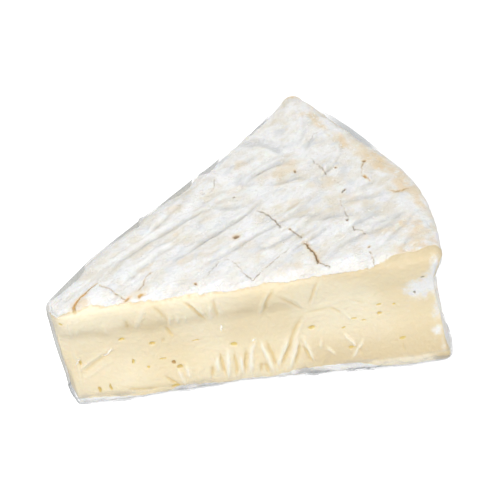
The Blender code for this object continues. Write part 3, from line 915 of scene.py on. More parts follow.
# Where the rind ends. On top of the near face the knife dragged paste over the rind's edge.
RIND_EDGE_ON_NEAR_FACE = (
    *((0, 36.0), (3, 36.8), (7, 37.3), (10, 37.6), (60, 37.5), (75, 37.6), (90, 37.9), (94, 39.5)),
    *((98, 45), (110, 45)),
)
RIND_EDGE_ON_FAR_FACE = (
    *((0, 35.0), (12, 36.2), (26, 35.4), (41, 36.6), (58, 35.6), (70, 34.4), (84, 35.6), (98, 34.2)),
    (110, 33.0),
)
PASTE_FOOT = (
    *((0, 3.6), (12, 3.2), (20, 2.3), (27, 2.2), (31, 3.7), (38, 3.4), (44, 2.3), (58, 2.5), (64, 4.0)),
    *((72, 4.7), (82, 4.5), (86, 3.4), (90, 2.0), (103, 1.8), (107, 2.0)),
)
RIND_TURNS = 1.2 * MM  # the rind mask crosses over this height
RIND_THICKNESS = 1.9 * MM  # of the rind's cut edge at the rim's end of a cut face
RIND_UNEVEN = ((0.35 * MM, 5 * MM), (0.18 * MM, 1.1 * MM))  # how far it strays, in lumps of that size
RIND_AT_TIP = ((35 * MM, 37.5 * MM), (5.0 * MM, 3.0 * MM))  # the heights of the upper and lower rind
ON_CUT = (0.15, 0.45)  # how far a point faces a cut where the cut begins
TURNED = (0.3, 0.6)  # and how far where a face's colour begins
DRAGGED_PASTE = (
    *((-56, 0.6), (-50, 1.2), (-43, 1.3), (-36, 0.8), (-30, 0.6), (15, 0.6), (27, 0.7), (33, 1.5)),
    *((38, 2.8), (42, 4.2), (50, 6)),
)
DRAGGED_UNEVEN = 1.4
DRAGGED_BLEND = 0.8 * MM
DRAGGED_TURNED = 0.2
WHITE_PATCHES = [  # where down shows on the near face by the rim: along, up, half sizes, strength
    (101.4, 27.0, 3.4, 3.5, 1.0),
    (104.4, 28.2, 2.6, 3.8, 1.0),
    (106.2, 33.2, 1.6, 4.6, 0.9),
    (106.8, 24.5, 1.5, 8.5, 0.6),
    (105.6, 17.2, 1.2, 3.0, 0.55),
    (105.4, 11.5, 1.4, 1.7, 0.65),
    (106.8, 7.0, 0.8, 3.0, 0.35),
]
SMEAR_SOFT = (1.9, 0.1)
SMEAR_RAGGED = ((0.25, 2.4 * MM, 8), (0.2, 0.9 * MM, 16))  # share, size of the lumps and seed


def smear_mask(blank):
    """1 where down was smeared over the near face's paste by the rim."""
    mask = np.zeros(len(blank.points))
    for at_along, at_up, half_long, half_high, strength in WHITE_PATCHES:
        away = np.hypot(
            (blank.along / MM - at_along) / half_long, (blank.height / MM - at_up) / half_high
        )
        away += sum(share * lumps(blank.points, size, seed) for share, size, seed in SMEAR_RAGGED)
        mask = np.maximum(mask, strength * ramp(*SMEAR_SOFT, away))
    return mask * ramp(*TURNED, -blank.facing[:, 1])


# Painted highlights on the paste's folds that stand up, and a paler strip of the foot
PALE_FOLDS = (50 * MM, 26 * MM)
PALE_FOLDS_RISE = (18 * MM, 14 * MM)
PALE_ELSEWHERE = 0.25
PALE_FOOT = 0.6
PALE_FOOT_HEIGHT = (5.2 * MM, 4.2 * MM)
PALE_FOOT_UNEVEN = 0.4 * MM
PALE_FOOT_FROM = (84 * MM, 88 * MM)
PALE_FOOT_UNTIL = (106 * MM, 102 * MM)


def pale_mask(blank, ridges):
    """1 where the paste is painted lighter: a painted highlight on the folds that stand up, and a paler
    strip of the foot.
    """
    uneven = PALE_FOOT_UNEVEN * lumps(blank.points, 3 * MM, 19)
    at_foot = ramp(*PALE_FOOT_HEIGHT, blank.height + uneven)
    at_foot *= PALE_FOOT * ramp(*PALE_FOOT_FROM, blank.along) * ramp(*PALE_FOOT_UNTIL, blank.along)
    plain = bell(blank.along, *PALE_FOLDS) * ramp(*PALE_FOLDS_RISE, blank.height)
    return np.maximum(ridges * between(PALE_ELSEWHERE, 1, plain), at_foot)


def rind_mask(blank):
    """1 on rind and 0 on paste, with a soft step between that the material makes ragged."""
    height, along = blank.height, blank.along
    mask = np.ones(len(height))
    uneven = sum(
        rise * lumps(blank.points, size, 5 + number) for number, (rise, size) in enumerate(RIND_UNEVEN)
    )
    foot = trace(along, PASTE_FOOT) + uneven
    below = ramp(foot + 0.5 * RIND_TURNS, foot - 0.5 * RIND_TURNS, height)
    at_rim = ramp(CUT_LENGTH - RIND_THICKNESS, CUT_LENGTH, along + uneven)
    for way, upper_edge in ((-1, RIND_EDGE_ON_NEAR_FACE), (1, RIND_EDGE_ON_FAR_FACE)):
        top = trace(along, upper_edge) + uneven
        above = ramp(top - RIND_TURNS, top + RIND_TURNS, height)
        rind = np.maximum.reduce([above, below, at_rim])
        mask = np.minimum(mask, 1 - ramp(*ON_CUT, way * blank.facing[:, 1]) * (1 - rind))
    above, below = [ramp(*edge, height + uneven) for edge in RIND_AT_TIP]
    tip_paste = ramp(*TURNED, -blank.facing[:, 0]) * (1 - np.clip(above + below, 0, 1))
    mask = np.minimum(mask, 1 - tip_paste)
    from_near_cut = (blank.angle + HALF_ANGLE) * blank.radius
    reach = trace(blank.points[:, 0], DRAGGED_PASTE) + DRAGGED_UNEVEN * uneven
    dragged = ramp(reach + DRAGGED_BLEND, reach - DRAGGED_BLEND, from_near_cut)
    dragged *= (blank.facing[:, 2] > DRAGGED_TURNED) & (height > WHEEL_HEIGHT / 2)
    return np.minimum(mask, 1 - dragged)


# Warm stains in the rind, on the plan: place, half size and strength
STAINS = [
    ((49.5, 3), (3.6, 9), 1.0),
    ((45.8, 14), (2.2, 6), 0.85),
    ((51.5, -14), (3.2, 12), 0.85),
    ((41, -27), (6, 2.4), 0.60),
    ((45, -31), (6, 3.2), 0.75),
    ((39, -37), (7, 3.5), 0.85),
    ((43.5, 40), (2.6, 2.2), 1.0),
    ((41.5, 31), (2.4, 1.2), 0.55),
    ((25, 12.5), (6, 2.8), 0.50),
    ((16, 22), (2.2, 1.6), 0.45),
    ((-26, -2.3), (2.6, 1.3), 0.60),
    ((-13, 5), (1.8, 1.2), 0.45),
    ((-9.5, 15), (2.6, 1.8), 0.35),
    ((-23, 5), (2.6, 1.6), 0.35),
    ((8, -24.5), (3.2, 1.4), 0.45),
    ((-47, -4), (3.4, 1.6), 0.75),
    ((-33, -9.5), (4.2, 1.4), 0.55),
    ((36, -10), (3, 4), 0.30),
    ((10, 12), (3.5, 1.6), 0.35),
    ((20, -2), (4, 1.6), 0.35),
    ((-2, 6), (4, 1.4), 0.30),
    ((33, 0), (2.4, 4), 0.35),
    ((44.8, 25), (1.8, 7), 0.75),
    ((14, -6), (3, 1.5), 0.35),
    ((-17, -5), (3, 1.3), 0.35),
    ((3, -9), (3, 1.3), 0.35),
    ((50, 8), (2.4, 4), 0.70),
    ((22, 8), (3, 1.6), 0.35),
    ((30, -25), (3, 1.6), 0.30),
]
STAIN_SOFT = (1.3, 0.4)
STAIN_RAGGED = 0.55
RIM_STAIN = 0.32
RIM_STAIN_TURNED = (0.35, 0.8)
RIM_STAIN_RISE = (6 * MM, 14 * MM)
RIM_STAIN_UNEVEN = 0.6


def stain_mask(blank):
    """How strong the warm stains are, on the upper rind and round the rim."""
    mask = RIM_STAIN * ramp(*RIM_STAIN_TURNED, blank.facing[:, 0]) * ramp(*RIM_STAIN_RISE, blank.height)
    mask *= RIM_STAIN_UNEVEN * (1 + lumps(blank.points, 9 * MM, 11))
    broken = STAIN_RAGGED * lumps(blank.points, 3.5 * MM, 12)
    for at, half_size, strength in STAINS:
        away = (blank.top - np.array(at) * MM) / (np.array(half_size) * MM)
        reach = np.hypot(away[:, 0], away[:, 1]) + broken
        mask = np.maximum(mask, strength * ramp(*STAIN_SOFT, reach) * blank.faces["up"])
    return np.clip(mask, 0, 1)


# Where the cheese's far edge lies in from its film, which spans straight on: the place along the
# cut and how far in, in mm. Its rim does the same beside the far corner.
FAR_EDGE_GAPS = (
    *((4, 0.1), (7, 0.7), (13, 1.5), (17, 0.9), (19, 0.12), (24, 0.12), (30, 0.15), (35.5, 0.4)),
    *((38.3, 1.6), (41, 0.15), (47, 0.1), (51, 0.2), (55, 1.2), (59.5, 1.3), (63, 0.08), (65.3, 0.08)),
    *((67, 1.6), (70, 0.9), (74.5, 0), (84, 0), (87, 0.4), (91, 0.45), (95, 0.2), (99, 0), (110, 0)),
)
GAP_REACHES_IN = 14 * MM
GAP_RISES = (WHEEL_HEIGHT - 26 * MM, WHEEL_HEIGHT - EDGES["Rise"][1])
RIM_EDGE_GAP = 1.4 * MM
RIM_GAP_AT = math.radians(8)
RIM_GAP_REACH = (math.radians(7), math.radians(14))
TIP_GAP = 0.4 * MM
BY_TIP = (2 * EDGES["Tip"][1], 0)


def film_gaps(blank):
    """How far in the cheese lies from its film, at the far cut and at the rim."""
    high_up = ramp(*GAP_RISES, blank.height)
    from_far_cut = (HALF_ANGLE - blank.angle) * blank.radius
    far = trace(blank.along, FAR_EDGE_GAPS) * high_up
    far *= ramp(np.minimum(GAP_REACHES_IN, 2 * HALF_ANGLE * blank.radius), 0, from_far_cut)
    rim = RIM_EDGE_GAP * bell(blank.angle, RIM_GAP_AT, np.where(blank.angle < RIM_GAP_AT, *RIM_GAP_REACH))
    rim *= high_up * ramp(GAP_REACHES_IN, 0, WHEEL_RADIUS - blank.radius)
    rim -= TIP_GAP * ramp(*BY_TIP, blank.along)
    return far, rim


# The paste and the rind lie this far under the film, and have a fine relief of their own
UNDER_FILM = 0.42 * MM
LEAST_GAP = 0.10 * MM
CHEESE_CELLS = (146, 112, 36)
PILLOW_SIZE = (9 * MM, 5.5 * MM, 5 * MM)
PILLOW_RELIEF = 0.22 * MM
CREPE_SIZE = (6.5 * MM, 3.6 * MM, 3 * MM)
CREPE_RELIEF = 0.18 * MM
CREPE_SHARP = 1.5
CRUMPLE_SIZE = (2.6 * MM, 1.7 * MM, 1.8 * MM)
CRUMPLE_RELIEF = 0.11 * MM
GRAIN_SIZE = 0.9 * MM
GRAIN_RELIEF = 0.09 * MM
PASTE_SWELL = 0.10 * MM
PASTE_SWELL_SIZE = 6 * MM

# painted light: the rind is painted whiter in a band by the near cut
FRESH = 0.65  # the rind is whiter by the near cut
FRESH_BY_CUT = (12 * MM, 3 * MM)
FOLD_WHITE = 0.6  # and so it is on its small crisp folds,
FOLD_RAISED = 0.7  # which aren't sunken
SUNKEN = 0.3
# painted highlight on the paste's folds on the far face
PALE_BEHIND = 0.5  # of the paste's folds on the far face

# Painted shade, a deeper yellow of the paste: under the lip, in furrows and low down towards the rim
UNDER_LIP = (27.2 * MM, 4.0 * MM)
UNDER_LIP_DEPTH = (
    *((0, 0.2), (5, 0.5), (8, 0.9), (13, 0.9), (16, 0.4), (19, 0.5), (21, 0.9), (23, 0.2), (26, 0.8)),
    *((30, 0.7), (32, 0.2), (37, 0.3), (41, 0.8), (44, 0.1), (47, 0.5), (54, 0.8), (57, 0.3)),
    *((60, 0.8), (66, 0.5), (70, 0), (110, 0)),
)
UNDER_LIP_UNEVEN = (0.8, 0.7)
BELOW_LIP = ((30 * MM, 26 * MM), (14 * MM, 19 * MM))
BELOW_LIP_ALONG = ((0, 8 * MM), (82 * MM, 62 * MM))
FOOT_LINE = ((0, 4.2), (30, 4.6), (44, 3.4), (60, 3.6), (64, 5.2), (90, 6.0), (100, 5.0), (107, 3.5))
FOOT_SHADE = (
    *((0, 0), (4, 0.4), (12, 0.8), (20, 0.4), (27, 0.6), (30, 1), (33, 0.3), (42, 0.8), (45, 0.2)),
    *((60, 0.3), (66, 1), (90, 1), (97, 0.4), (110, 0.2)),
)
FOOT_SHADE_REACH = 1.7 * MM
LOW_DOWN = ((19 * MM, 7 * MM), (58 * MM, 74 * MM))
# painted shade also on the paste high up by the near corner, where it was dragged over the edge
DRAGGED_OVER = ((33.5 * MM, 38 * MM), (68 * MM, 82 * MM))
# how strong each part of the painted shade is
YELLOW = {"under lip": 0.66, "below lip": 0.22, "foot": 0.68, "dragged": 0.85, "furrows": 0.85}


def along_furrows(points):
    """The points turned, so that X runs along the furrows."""
    cosine, sine = math.cos(FURROW_TURN), math.sin(FURROW_TURN)
    turned = points.copy()
    turned[:, 0] = points[:, 0] * cosine + points[:, 1] * sine
    turned[:, 1] = points[:, 1] * cosine - points[:, 0] * sine
    return turned


def set_masks(mesh, **masks):
    """Keeps masks in the mesh, by name, for its material."""
    for name, values in masks.items():
        layer = mesh.attributes.new(name, "FLOAT", "POINT")
        layer.data.foreach_set("value", values.astype(np.float32))


def deep_mask(blank, ridges, furrows):
    """How much painted shade, a deeper yellow, the paste has."""
    height, along = blank.height, blank.along
    uneven = UNDER_LIP_UNEVEN[0] + UNDER_LIP_UNEVEN[1] * lumps(blank.points, 3 * MM, 24)
    under_lip = bell(height, *UNDER_LIP) * trace(along, UNDER_LIP_DEPTH, SHARES) * uneven
    below_lip = ramp(*BELOW_LIP[0], height) * ramp(*BELOW_LIP[1], height)
    below_lip *= ramp(*BELOW_LIP_ALONG[0], along) * ramp(*BELOW_LIP_ALONG[1], along)
    low_down = ramp(*LOW_DOWN[0], height) * ramp(*LOW_DOWN[1], along)
    dragged = ramp(*DRAGGED_OVER[0], height) * ramp(*DRAGGED_OVER[1], along)
    foot = bell(height - trace(along, FOOT_LINE), 0, FOOT_SHADE_REACH) * trace(along, FOOT_SHADE, SHARES)
    broad = np.maximum.reduce(
        [YELLOW["under lip"] * under_lip, YELLOW["below lip"] * below_lip, low_down, YELLOW["foot"] * foot]
    )
    broad = np.maximum(broad * (1 - ridges), YELLOW["dragged"] * dragged)
    return np.clip(broad + YELLOW["furrows"] * furrows, 0, 1)


def shown(name, mesh):
    """The finished piece."""
    mesh.shade_smooth()
    return in_scene(name, mesh)


def make_cheese(material):
    blank = Blank("cheese", CHEESE_CELLS, material, [(on_near_face, 1), (by_details, 2)])
    coarser_underside(blank)
    up, near = blank.faces["up"], blank.faces["near"]
    rind = rind_mask(blank)
    turned = along_furrows(blank.points)
    folds = folded(lumps(turned, CREPE_SIZE, 13)) ** CREPE_SHARP
    pillows = lumps(turned, PILLOW_SIZE, 1)
    relief = PILLOW_RELIEF * pillows + CREPE_RELIEF * folds
    relief += CRUMPLE_RELIEF * lumps(turned, CRUMPLE_SIZE, 2)
    relief += GRAIN_RELIEF * lumps(blank.points, GRAIN_SIZE, 7)
    relief = between(PASTE_SWELL * lumps(blank.points, PASTE_SWELL_SIZE, 9), relief, rind)
    racked, on_crest, tan, grey = soft_ridges(blank)
    pressed, ridges, furrows = near_creases(blank)
    behind, ridges_behind, furrows_behind = hidden_creases(blank)
    relief += up * racked + near * pressed + behind

    cracks, pits = crack_masks(blank), pit_masks(blank, blank.top, RIND_PITS)
    eyes = near * pit_masks(blank, blank.side, PASTE_EYES)
    eyes += blank.faces["far"] * pit_masks(blank, blank.side, FAR_EYES)
    depth, dark, brown = up * np.maximum(cracks, pits) + eyes
    relief -= depth
    far_gap, rim_gap = film_gaps(blank)
    points = wrapped_shape(blank) + blank.normal * np.minimum(relief - UNDER_FILM, -LEAST_GAP)[:, None]
    points[:, 0] += math.sin(HALF_ANGLE) * far_gap - np.cos(blank.angle) * rim_gap
    points[:, 1] -= math.cos(HALF_ANGLE) * far_gap + np.sin(blank.angle) * rim_gap
    points[:, 2] = np.maximum(points[:, 2], LEAST_GAP)
    blank.mesh.vertices.foreach_set("co", points.ravel())

    # painted light: a whiter band of rind by the near cut
    fresh = FRESH * ramp(*FRESH_BY_CUT, (blank.angle + HALF_ANGLE) * blank.radius)
    furrows = near * furrows + furrows_behind
    set_masks(
        blank.mesh,
        rind=rind,
        dark=dark,
        brown=brown,
        stain=np.maximum(stain_mask(blank), up * tan),
        # whiter down on the crests and small folds, and painted light in a band by the near cut
        crest=np.maximum.reduce([up * on_crest, FOLD_WHITE * folds, fresh]),
        sunken=np.clip(SUNKEN - pillows - FOLD_RAISED * folds, 0, 1),
        # painted shade in the rind's grey valleys and in the ridges' lee
        thin=up * grey,
        # painted shade of the paste
        deep=deep_mask(blank, near * ridges, furrows),
        # painted golden shade in the paste's furrows
        furrow=np.clip(furrows, 0, 1),
        # painted highlight on the paste's folds, and a paler strip of the foot
        pale=near * pale_mask(blank, ridges) + PALE_BEHIND * ridges_behind,
        smear=smear_mask(blank),
    )
    return shown("cheese", blank.mesh)


def linear(red, green, blue):
    """A linear colour, from the sRGB values that a colour card gives, from 0 to 255."""
    shares = [value / 255 for value in (red, green, blue)]
    return (*[s / 12.92 if s <= 0.04045 else ((s + 0.055) / 1.055) ** 2.4 for s in shares], 1.0)


def object_place(tree, turn=0.0, stretch=(1, 1, 1)):
    """Object coordinates, turned about Z and then stretched."""
    place = add(tree, "ShaderNodeTexCoord", {}).outputs["Object"]
    given = {"Rotation": (0, 0, turn), "Scale": stretch, "Vector": place}
    return add(tree, "ShaderNodeMapping", given, vector_type="TEXTURE").outputs["Vector"]


def noise_value(tree, size, seed, place=None, detail=2.0, roughness=0.55):
    """Noise from 0 to 1 with lumps of that size in metres."""
    given = {"Vector": place or object_place(tree), "W": seed, "Scale": 1 / size}
    given |= {"Detail": detail, "Roughness": roughness}
    return Value(add(tree, "ShaderNodeTexNoise", given, noise_dimensions="4D").outputs["Fac"])


def mix_colours(share, low, high):
    """The Mix node's inputs 6 and 7 and its output 2 are its colours."""
    given = {"Factor": share, 6: low, 7: high}
    return add(share.tree, "ShaderNodeMix", given, data_type="RGBA").outputs[2]


def laid_over(colour, layers):
    """The colour with layers over it, each a share and its colour, the lowest first."""
    for share, laid in layers:
        colour = mix_colours(share, colour, laid)
    return colour


def mask_value(tree, name):
    return Value(add(tree, "ShaderNodeAttribute", {}, attribute_name=name).outputs["Fac"])


def bump(tree, height, distance, strength=1.0):
    given = {"Strength": strength, "Distance": distance, "Height": height}
    return add(tree, "ShaderNodeBump", given).outputs["Normal"]


def new_material(name):
    """A material, its node tree and its main shader."""
    material = bpy.data.materials.new(name)
    material.use_nodes = True
    return material, material.node_tree, material.node_tree.nodes["Principled BSDF"]


def downy_bloom_group():
    """The fine down of white mould: specks that differ in brightness, and their height."""
    tree = bpy.data.node_groups.new("downy_bloom", "ShaderNodeTree")
    grain = open_tree(tree, {"Float": ["Grain"]})["Grain"]
    for name in ("Specks", "Height"):
        tree.interface.new_socket(name, in_out="OUTPUT", socket_type="NodeSocketFloat")
    size = add(tree, "ShaderNodeCombineXYZ", dict.fromkeys(range(3), grain)).outputs[0]
    given = {0: add(tree, "ShaderNodeTexCoord", {}).outputs["Object"], 1: size}
    place = add(tree, "ShaderNodeVectorMath", given, operation="DIVIDE").outputs[0]
    fine = noise_value(tree, 1.0, 2.0, place, detail=3.0, roughness=0.65)
    coarse = noise_value(tree, 3.1, 5.0, place, detail=1.0)
    specks = fine.ramp(0.38, 0.66) * 0.7 + coarse.ramp(0.35, 0.65) * 0.3
    add(tree, "NodeGroupOutput", {"Specks": specks, "Height": fine * 0.65 + coarse * 0.35})
    return tree


def place_group(tree, group, given):
    """What a node group puts out, by name."""
    node = add(tree, "ShaderNodeGroup", given, node_tree=group)
    return {socket.name: Value(socket) for socket in node.outputs}


DOWNY_BLOOM = downy_bloom_group()
BLOOM_GRAIN = 0.42 * MM

PASTE_PALE = linear(248, 237, 208)
# painted highlight of the paste's folds, and the paler strip of the foot
PASTE_LIGHT = linear(255, 250, 233)
PASTE_DEEP = linear(240, 224, 186)
# painted shade of the paste: a deeper yellow under the lip, along the foot, low down and in furrows
PASTE_SHADE = linear(220, 201, 160)
# painted shade: the golden yellow of the shade in the paste's furrows
PASTE_GOLD = linear(240, 212, 140)
PASTE_UNDER_RIND = linear(232, 210, 166)
EYE_BROWN = linear(182, 138, 46)
EYE_OCHRE = linear(220, 192, 86)
RIND_WHITE = linear(249, 249, 248)
RIND_CREAM = linear(230, 222, 204)
RIND_BLUE = linear(223, 226, 229)
RIND_DOWN = linear(236, 239, 241)
# painted shade in the rind's grey valleys and in the ridges' lee
RIND_GREY = linear(198, 199, 198)
RIND_SHADE = linear(204, 200, 191)
RIND_TAN = linear(236, 214, 176)
CRACK_GREY = linear(150, 138, 118)
CRACK_BROWN = linear(216, 168, 84)
CRACK_DEEP = linear(122, 88, 50)
RIND_ROUGHNESS = 0.78
PASTE_ROUGHNESS = 0.42
RELIEF_OF_DOWN = 0.35 * MM
WRINKLES_IN_DOWN = 0.28
CURD_IN_PASTE = 0.25
LIGHT_UNDER_SKIN = {  # how far light goes in, for red, green and blue
    "Subsurface Weight": 0.22,
    "Subsurface Radius": (1.0, 0.72, 0.4),
    "Subsurface Scale": 2.2 * MM,
}


def paste_colour(tree, ragged, dark, brown, down):
    """Cream, with a fine curd, painted shade of a deeper yellow in the hollows, painted highlights on the
    folds, the eyes and the smears of rind.
    """
    cloudy = noise_value(tree, 22 * MM, 3.0, detail=1.0).ramp(0.35, 0.65)
    curd = noise_value(tree, 1.3 * MM, 4.0, detail=3.0).ramp(0.35, 0.7)
    under_rind = mask_value(tree, "rind").ramp(0.0, 0.35)
    under_rind *= noise_value(tree, 1.8 * MM, 13.0).ramp(0.35, 0.65)
    smear = (mask_value(tree, "smear") + (ragged - 0.5) * 1.1).ramp(0.05, 0.85)
    eye = mix_colours(brown.ramp(0.45, 0.95), EYE_OCHRE, EYE_BROWN)
    eye = mix_colours(brown.ramp(0.02, 0.15), CRACK_GREY, eye)
    layers = [
        (curd * 0.22, PASTE_DEEP),
        (under_rind * 0.9, PASTE_UNDER_RIND),
        ((brown * 0.5).clip(0.0, 1.0), PASTE_DEEP),
        # painted shade: a deeper yellow under the lip, along the foot, low down and in the furrows
        (mask_value(tree, "deep") * 0.9, PASTE_SHADE),
        # painted golden shade in the furrows
        (mask_value(tree, "furrow") * 0.55, PASTE_GOLD),
        # painted highlight on the folds that stand up, and a paler strip of the foot
        (mask_value(tree, "pale") * 0.95, PASTE_LIGHT),
        (smear * 0.95, mix_colours(down, RIND_DOWN, RIND_WHITE)),
        (dark * 0.85, eye),
    ]
    return laid_over(mix_colours(cloudy, PASTE_PALE, PASTE_DEEP), layers), curd


def rind_colour(tree, along, dark, brown, down):
    """White down, creamy in the hollows, with painted shade in its grey valleys and lees, crumbs, warm
    stains and cracks.
    """
    patchy = noise_value(tree, 4.5 * MM, 8.0, along, detail=4.0, roughness=0.6)
    hollow = (patchy.ramp(0.42, 0.60) * 0.8 + mask_value(tree, "sunken") * 0.5).clip(0.0, 1.0)
    bluish = noise_value(tree, 4.0 * MM, 7.0, along, detail=2.0).ramp(0.52, 0.66)
    # painted shade in the grey valleys and the ridges' lee
    thin = mask_value(tree, "thin") * noise_value(tree, 3.0 * MM, 14.0, along, detail=3.0).ramp(0.25, 0.6)
    crumbs = noise_value(tree, 1.0 * MM, 10.0, detail=4.0, roughness=0.7).ramp(0.54, 0.68)
    stain = mask_value(tree, "stain") * noise_value(tree, 3.2 * MM, 9.0, detail=3.0).ramp(0.32, 0.58)
    inside = mix_colours(brown, CRACK_GREY, CRACK_BROWN)
    core = dark.ramp(0.6, 1.0) * brown.ramp(1.0, 0.75) * 0.6
    layers = [
        (hollow, RIND_CREAM),
        (bluish * 0.75, RIND_BLUE),
        # whiter down on the crests and small folds, and painted light in a band by the near cut
        (mask_value(tree, "crest") * 0.8, RIND_WHITE),
        (thin * 0.7, RIND_GREY),
        (down * 0.30, RIND_WHITE),
        (crumbs * 0.40, RIND_SHADE),
        (stain * 0.95, RIND_TAN),
        ((brown * 0.75).clip(0.0, 1.0), RIND_TAN),
        (dark * 0.9, mix_colours(core, inside, CRACK_DEEP)),
    ]
    return laid_over(RIND_WHITE, layers)


def cheese_material():
    """Rind and paste, with a ragged line between them."""
    material, tree, shader = new_material("cheese")
    dark, brown = mask_value(tree, "dark"), mask_value(tree, "brown")
    bloom = place_group(tree, DOWNY_BLOOM, {"Grain": BLOOM_GRAIN})
    ragged = noise_value(tree, 1.2 * MM, 1.0, detail=3.0)
    rind = (mask_value(tree, "rind") + (ragged - 0.5) * 0.5).ramp(0.36, 0.64)
    along = object_place(tree, FURROW_TURN, (1.7, 1, 1))
    paste, curd = paste_colour(tree, ragged, dark, brown, bloom["Specks"])
    down = rind_colour(tree, along, dark, brown, bloom["Specks"])
    pressed = noise_value(tree, 2.4 * MM, 12.0, along, detail=4.0)
    pressed = (pressed - 0.5).math("ABSOLUTE").ramp(0.0, 0.09)
    on_rind = bloom["Height"] + pressed * WRINKLES_IN_DOWN
    fine = on_rind * rind + curd * CURD_IN_PASTE * (rind * -1.0 + 1.0)
    look = {
        "Base Color": mix_colours(rind, paste, down),
        "Roughness": rind * (RIND_ROUGHNESS - PASTE_ROUGHNESS) + PASTE_ROUGHNESS,
        "Normal": bump(tree, fine, RELIEF_OF_DOWN),
    }
    feed_all(shader, look | LIGHT_UNDER_SKIN)
    return material


cheese = make_cheese(cheese_material())
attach(cheese, "root")
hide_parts("wrapped_wedge")


# =============================================================================================
# The bloom
# Tufts of white mould that stand up from the rind, where the down grew thickest: small flat
# flakes, scattered over the rind in patches and kept out of its cracks.
# =============================================================================================

TUFT_COUNT = 2600
TUFT_RADIUS = (0.16 * MM, 0.42 * MM)
TUFT_FLATNESS = 0.45
TUFT_NARROWER = 0.7
TUFT_LEAN = 0.3
TUFT_TURN = 6.28
TUFT_SEED = 4
TUFT_PATCHES = (((-0.15, 0.5), 7 * MM, 21), ((-0.3, 0.4), 1.8 * MM, 22))
TUFT_LEAST = 0.08  # between the patches
TUFTS_FROM_HEIGHT = (2 * MM, 5 * MM)
DOWNY_SHARE = 0.3  # of the cheese's surface, which the count of tufts is meant for
TUFT_WHITE = linear(246, 247, 247)
TUFT_CREAM = linear(240, 234, 224)


def tuft_tree():
    """Geometry nodes: flat flakes on the rind, as many as the density asks for."""
    tree = bpy.data.node_groups.new("bloom_tufts", "GeometryNodeTree")
    floats = ["Density", "Smallest", "Largest", "Flatness"]
    names = {"Geometry": ["Rind"], "Float": floats, "Int": ["Seed"], "Material": ["Material"]}
    given = open_tree(tree, names)
    thick = add(tree, "GeometryNodeInputNamedAttribute", {"Name": "down"}, data_type="FLOAT")
    density = Value(thick.outputs["Attribute"]) * Value(given["Density"])
    strewn = {"Mesh": given["Rind"], "Density": density, "Seed": given["Seed"]}
    scatter = add(tree, "GeometryNodeDistributePointsOnFaces", strewn)
    flake = add(tree, "GeometryNodeMeshIcoSphere", {"Radius": 1.0, "Subdivisions": 1})
    sizes = {2: given["Smallest"], 3: given["Largest"], "Seed": given["Seed"]}  # 2 and 3: least and most
    width = Value(add(tree, "FunctionNodeRandomValue", sizes).outputs[1])
    shape = {0: width, 1: width * TUFT_NARROWER, 2: width * Value(given["Flatness"])}
    turns = {0: (-TUFT_LEAN, -TUFT_LEAN, 0.0), 1: (TUFT_LEAN, TUFT_LEAN, TUFT_TURN)}
    turn = add(tree, "FunctionNodeRandomValue", turns, data_type="FLOAT_VECTOR").outputs[0]
    spun = {0: scatter.outputs["Rotation"], 1: turn}
    placed = {
        "Points": scatter.outputs["Points"],
        "Instance": flake.outputs["Mesh"],
        "Rotation": add(tree, "FunctionNodeRotateRotation", spun, rotation_space="LOCAL").outputs[0],
        "Scale": add(tree, "ShaderNodeCombineXYZ", shape).outputs[0],
    }
    put = add(tree, "GeometryNodeInstanceOnPoints", placed)
    close_tree(tree, put.outputs["Instances"], given["Material"])
    return tree


def tuft_material():
    material, tree, shader = new_material("bloom")
    bloom = place_group(tree, DOWNY_BLOOM, {"Grain": 0.5 * BLOOM_GRAIN})
    look = {
        "Base Color": mix_colours(bloom["Specks"], TUFT_CREAM, TUFT_WHITE),
        "Roughness": 0.85,
        "Normal": bump(tree, bloom["Height"], 0.1 * MM, 0.6),
    }
    feed_all(shader, look)
    return material


def grow_bloom(cheese_mesh):
    """Tufts on a copy of the rind that keeps how thick the down is."""
    ground = cheese_mesh.copy()
    points = read_points(ground, ground.vertices, "co")
    masks = {}
    for name in ("rind", "dark"):
        masks[name] = np.empty(len(points), dtype=np.float32)
        ground.attributes[name].data.foreach_get("value", masks[name])
    down = math.prod(ramp(*rise, lumps(points, size, seed)) for rise, size, seed in TUFT_PATCHES)
    down = (down + TUFT_LEAST) * ramp(0.85, 1.0, masks["rind"]) * (1 - masks["dark"])
    set_masks(ground, down=down * ramp(*TUFTS_FROM_HEIGHT, points[:, 2]))
    values = {
        "Density": TUFT_COUNT / (DOWNY_SHARE * sum(face.area for face in ground.polygons)),
        "Smallest": TUFT_RADIUS[0],
        "Largest": TUFT_RADIUS[1],
        "Flatness": TUFT_FLATNESS,
        "Seed": TUFT_SEED,
        "Material": tuft_material(),
    }
    tufts = shown("bloom", plain_mesh(tuft_tree(), values, "bloom", ground))
    bpy.data.meshes.remove(ground)
    return tufts


bloom = grow_bloom(cheese.data)
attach(bloom, "root")
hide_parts("wrapped_wedge")


# =============================================================================================
# The film
# Clear cling film, drawn tight round the cheese and tucked under it. It spans the places where
# the cheese has sunk, creases over the cut faces and lies crinkled along the foot.
# =============================================================================================

